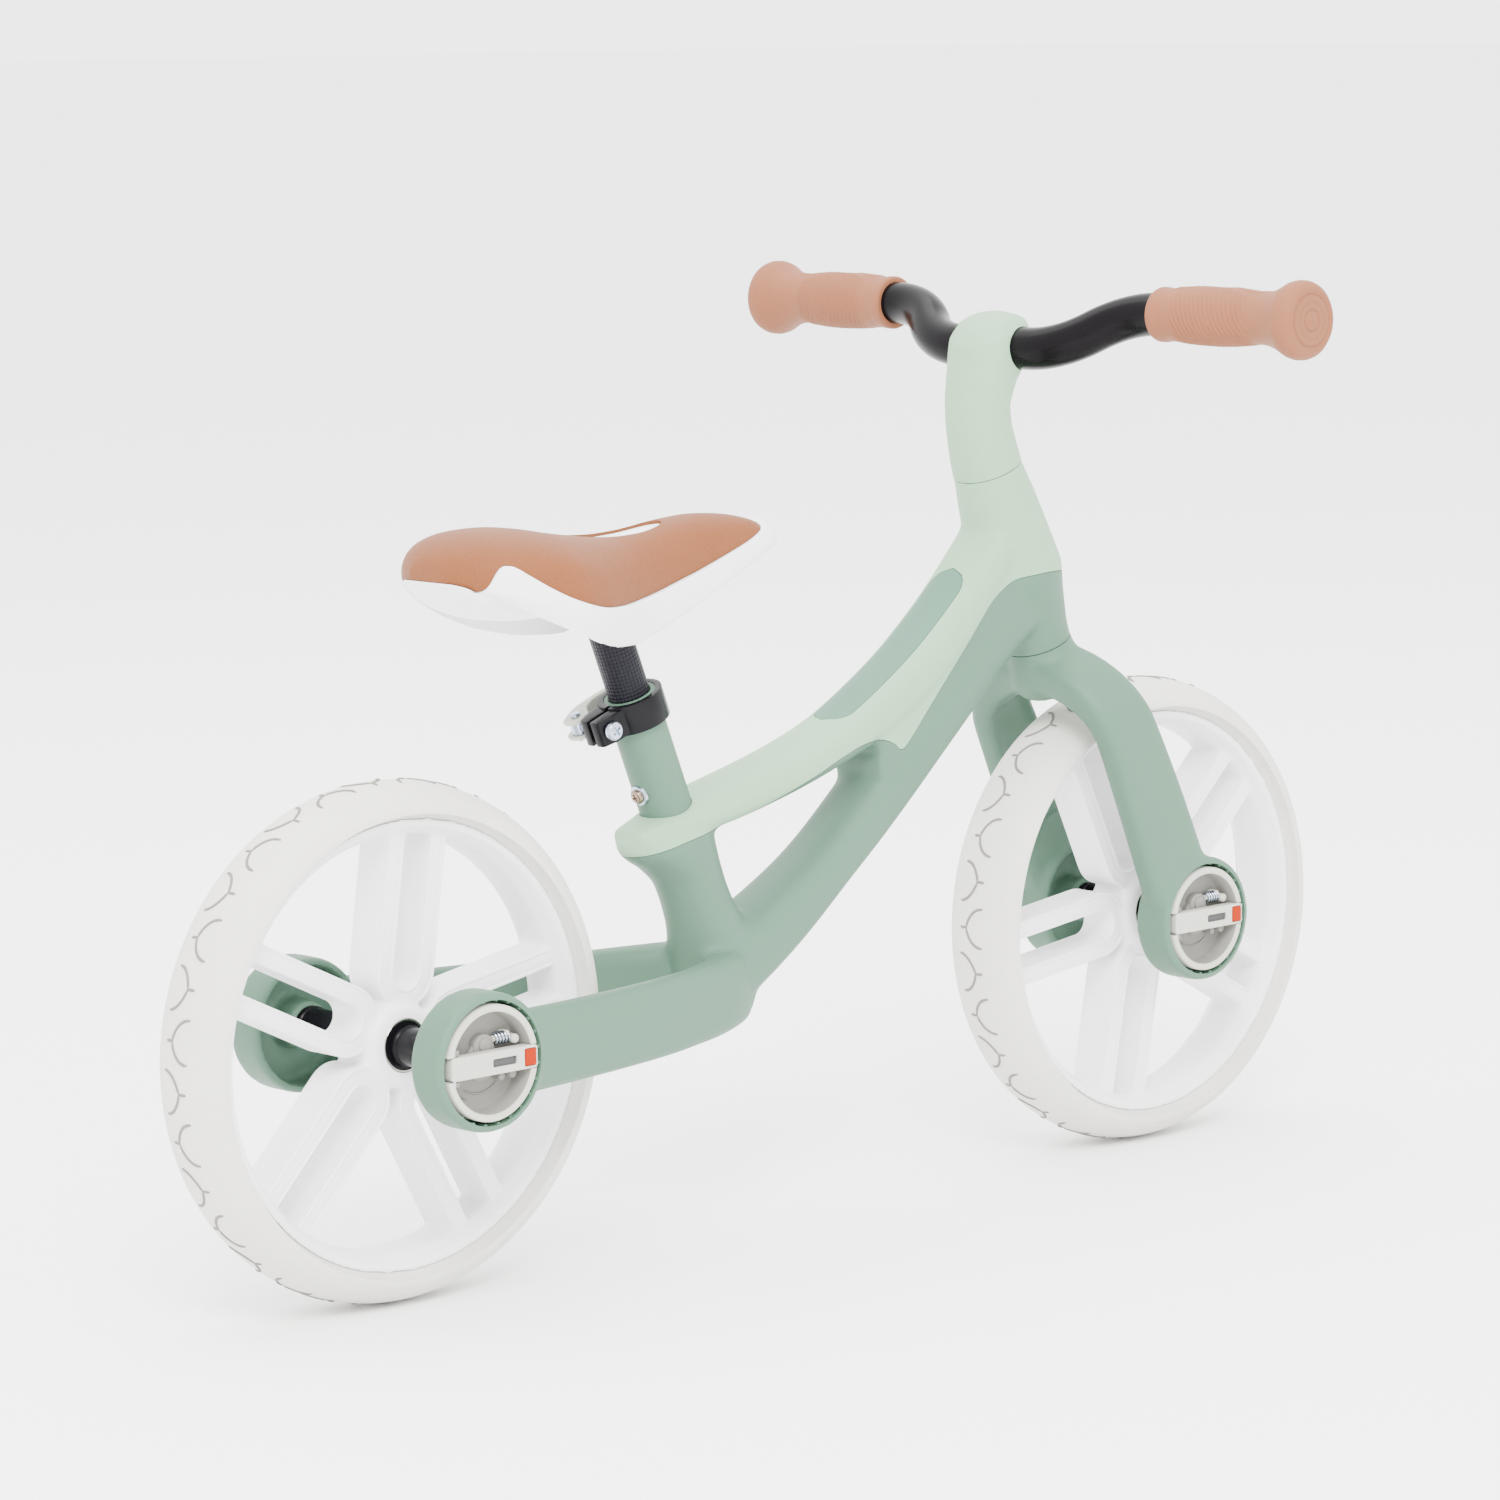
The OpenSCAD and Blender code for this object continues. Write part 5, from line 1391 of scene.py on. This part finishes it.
collarPlace = seatPlace(clamp["along"])
for name, make, finish, rider, node, slotName in (
    ("seatCollar", collarBody, "collarBlack", "frame", "seat_collar", "gloss_black"),
    ("collarBolt", collarBolt, "zinc", "frame", "collar_bolt", "zinc"),
    ("camLever", camLever, "lever", "collar_lever", "collar_lever", "lever_grey"),
    ("leverPin", leverPin, "zinc", "collar_lever", "collar_lever_pins", "zinc"),
):
    obj = make()
    obj.name = name
    obj.data.transform(collarPlace)
    finished(obj, finish, rider, (node,), 40)

tubeTop, tubeRadius, screwAlong = bike["seatTubeTop"], bike["seatTubeRadius"], 112
screwPlace = seatPlace(screwAlong) @ Matrix.Rotation(-math.pi / 2, 4, "Y") @ shifted(0, 0, tubeRadius + 0.8)
seatTube = turned("seatTube", [(10.55, 76), (tubeRadius, 76), (tubeRadius, tubeTop - 0.5),
                               (tubeRadius - 0.5, tubeTop), (11.0, tubeTop), (10.55, tubeTop - 0.5)],
                  seatPlace(), 128, ring=True)
finished(seatTube, "sage", "frame", ("seat_tube",))
washer = turned("screwWasher", [(2, -1.6), (5.2, -1.6), (5.5, -1.3), (5.2, 0.1), (4.2, 0.35), (2, 0.1)],
                screwPlace, 48, ring=True)
finished(washer, "zinc", "frame", ("seat_tube_washer",))
screw = crossHead(3.7, 2.3, screwPlace, 0.9)
screw.name = "tubeScrew"
finished(screw, "bronze", "frame", ("seat_tube_screw",))

for node, finish in (("seat_post", "post"), ("saddle_bracket", "blackPlastic"), ("saddle_bolts", "zinc"),
                     ("collar_barrel", "zinc"),
                     ("head_bearing_lower", "steel"), ("head_bearing_upper", "steel"),
                     ("steerer_tube", "axleSteel"), ("stem_screws", "zinc"),
                     ("rear_lever_pin", "zinc"), ("front_lever_pin", "zinc")):
    paintNode(node, finish)
print("clamp and seat tube finished")


def softLamp(name, place, target, size, energy):
    data = bpy.data.lights.new(name, "AREA")
    data.shape = "SQUARE"
    data.size = size
    data.energy = energy
    obj = bpy.data.objects.new(name, data)
    scene.collection.objects.link(obj)
    obj.location = place
    obj.rotation_euler = (Vector(target) - Vector(place)).to_track_quat("-Z", "Y").to_euler()


def buildStage():
    bm = bmesh.new()
    bmesh.ops.create_grid(bm, x_segments=1, y_segments=1, size=60)
    floor = newObject("floor", bm)
    mat, _, _, shader = newMaterial("floorPale")
    shader.inputs["Base Color"].default_value = (0.93, 0.93, 0.93, 1)
    shader.inputs["Roughness"].default_value = 0.85
    floor.data.materials.append(mat)
    world = bpy.data.worlds.new("studio")
    world.use_nodes = True
    world.node_tree.nodes["Background"].inputs["Color"].default_value = (1, 1, 1, 1)
    world.node_tree.nodes["Background"].inputs["Strength"].default_value = 4.0
    scene.world = world
    softLamp("key", (-1.9, -2.2, 2.7), (0, 0, 0.2), 1.5, 265)
    softLamp("fill", (2.2, -2.0, 1.6), (0, 0, 0.2), 2.4, 12)
    softLamp("top", (0.2, 0.6, 3.0), (0, 0, 0.2), 2.6, 110)


buildStage()

print("stage set")
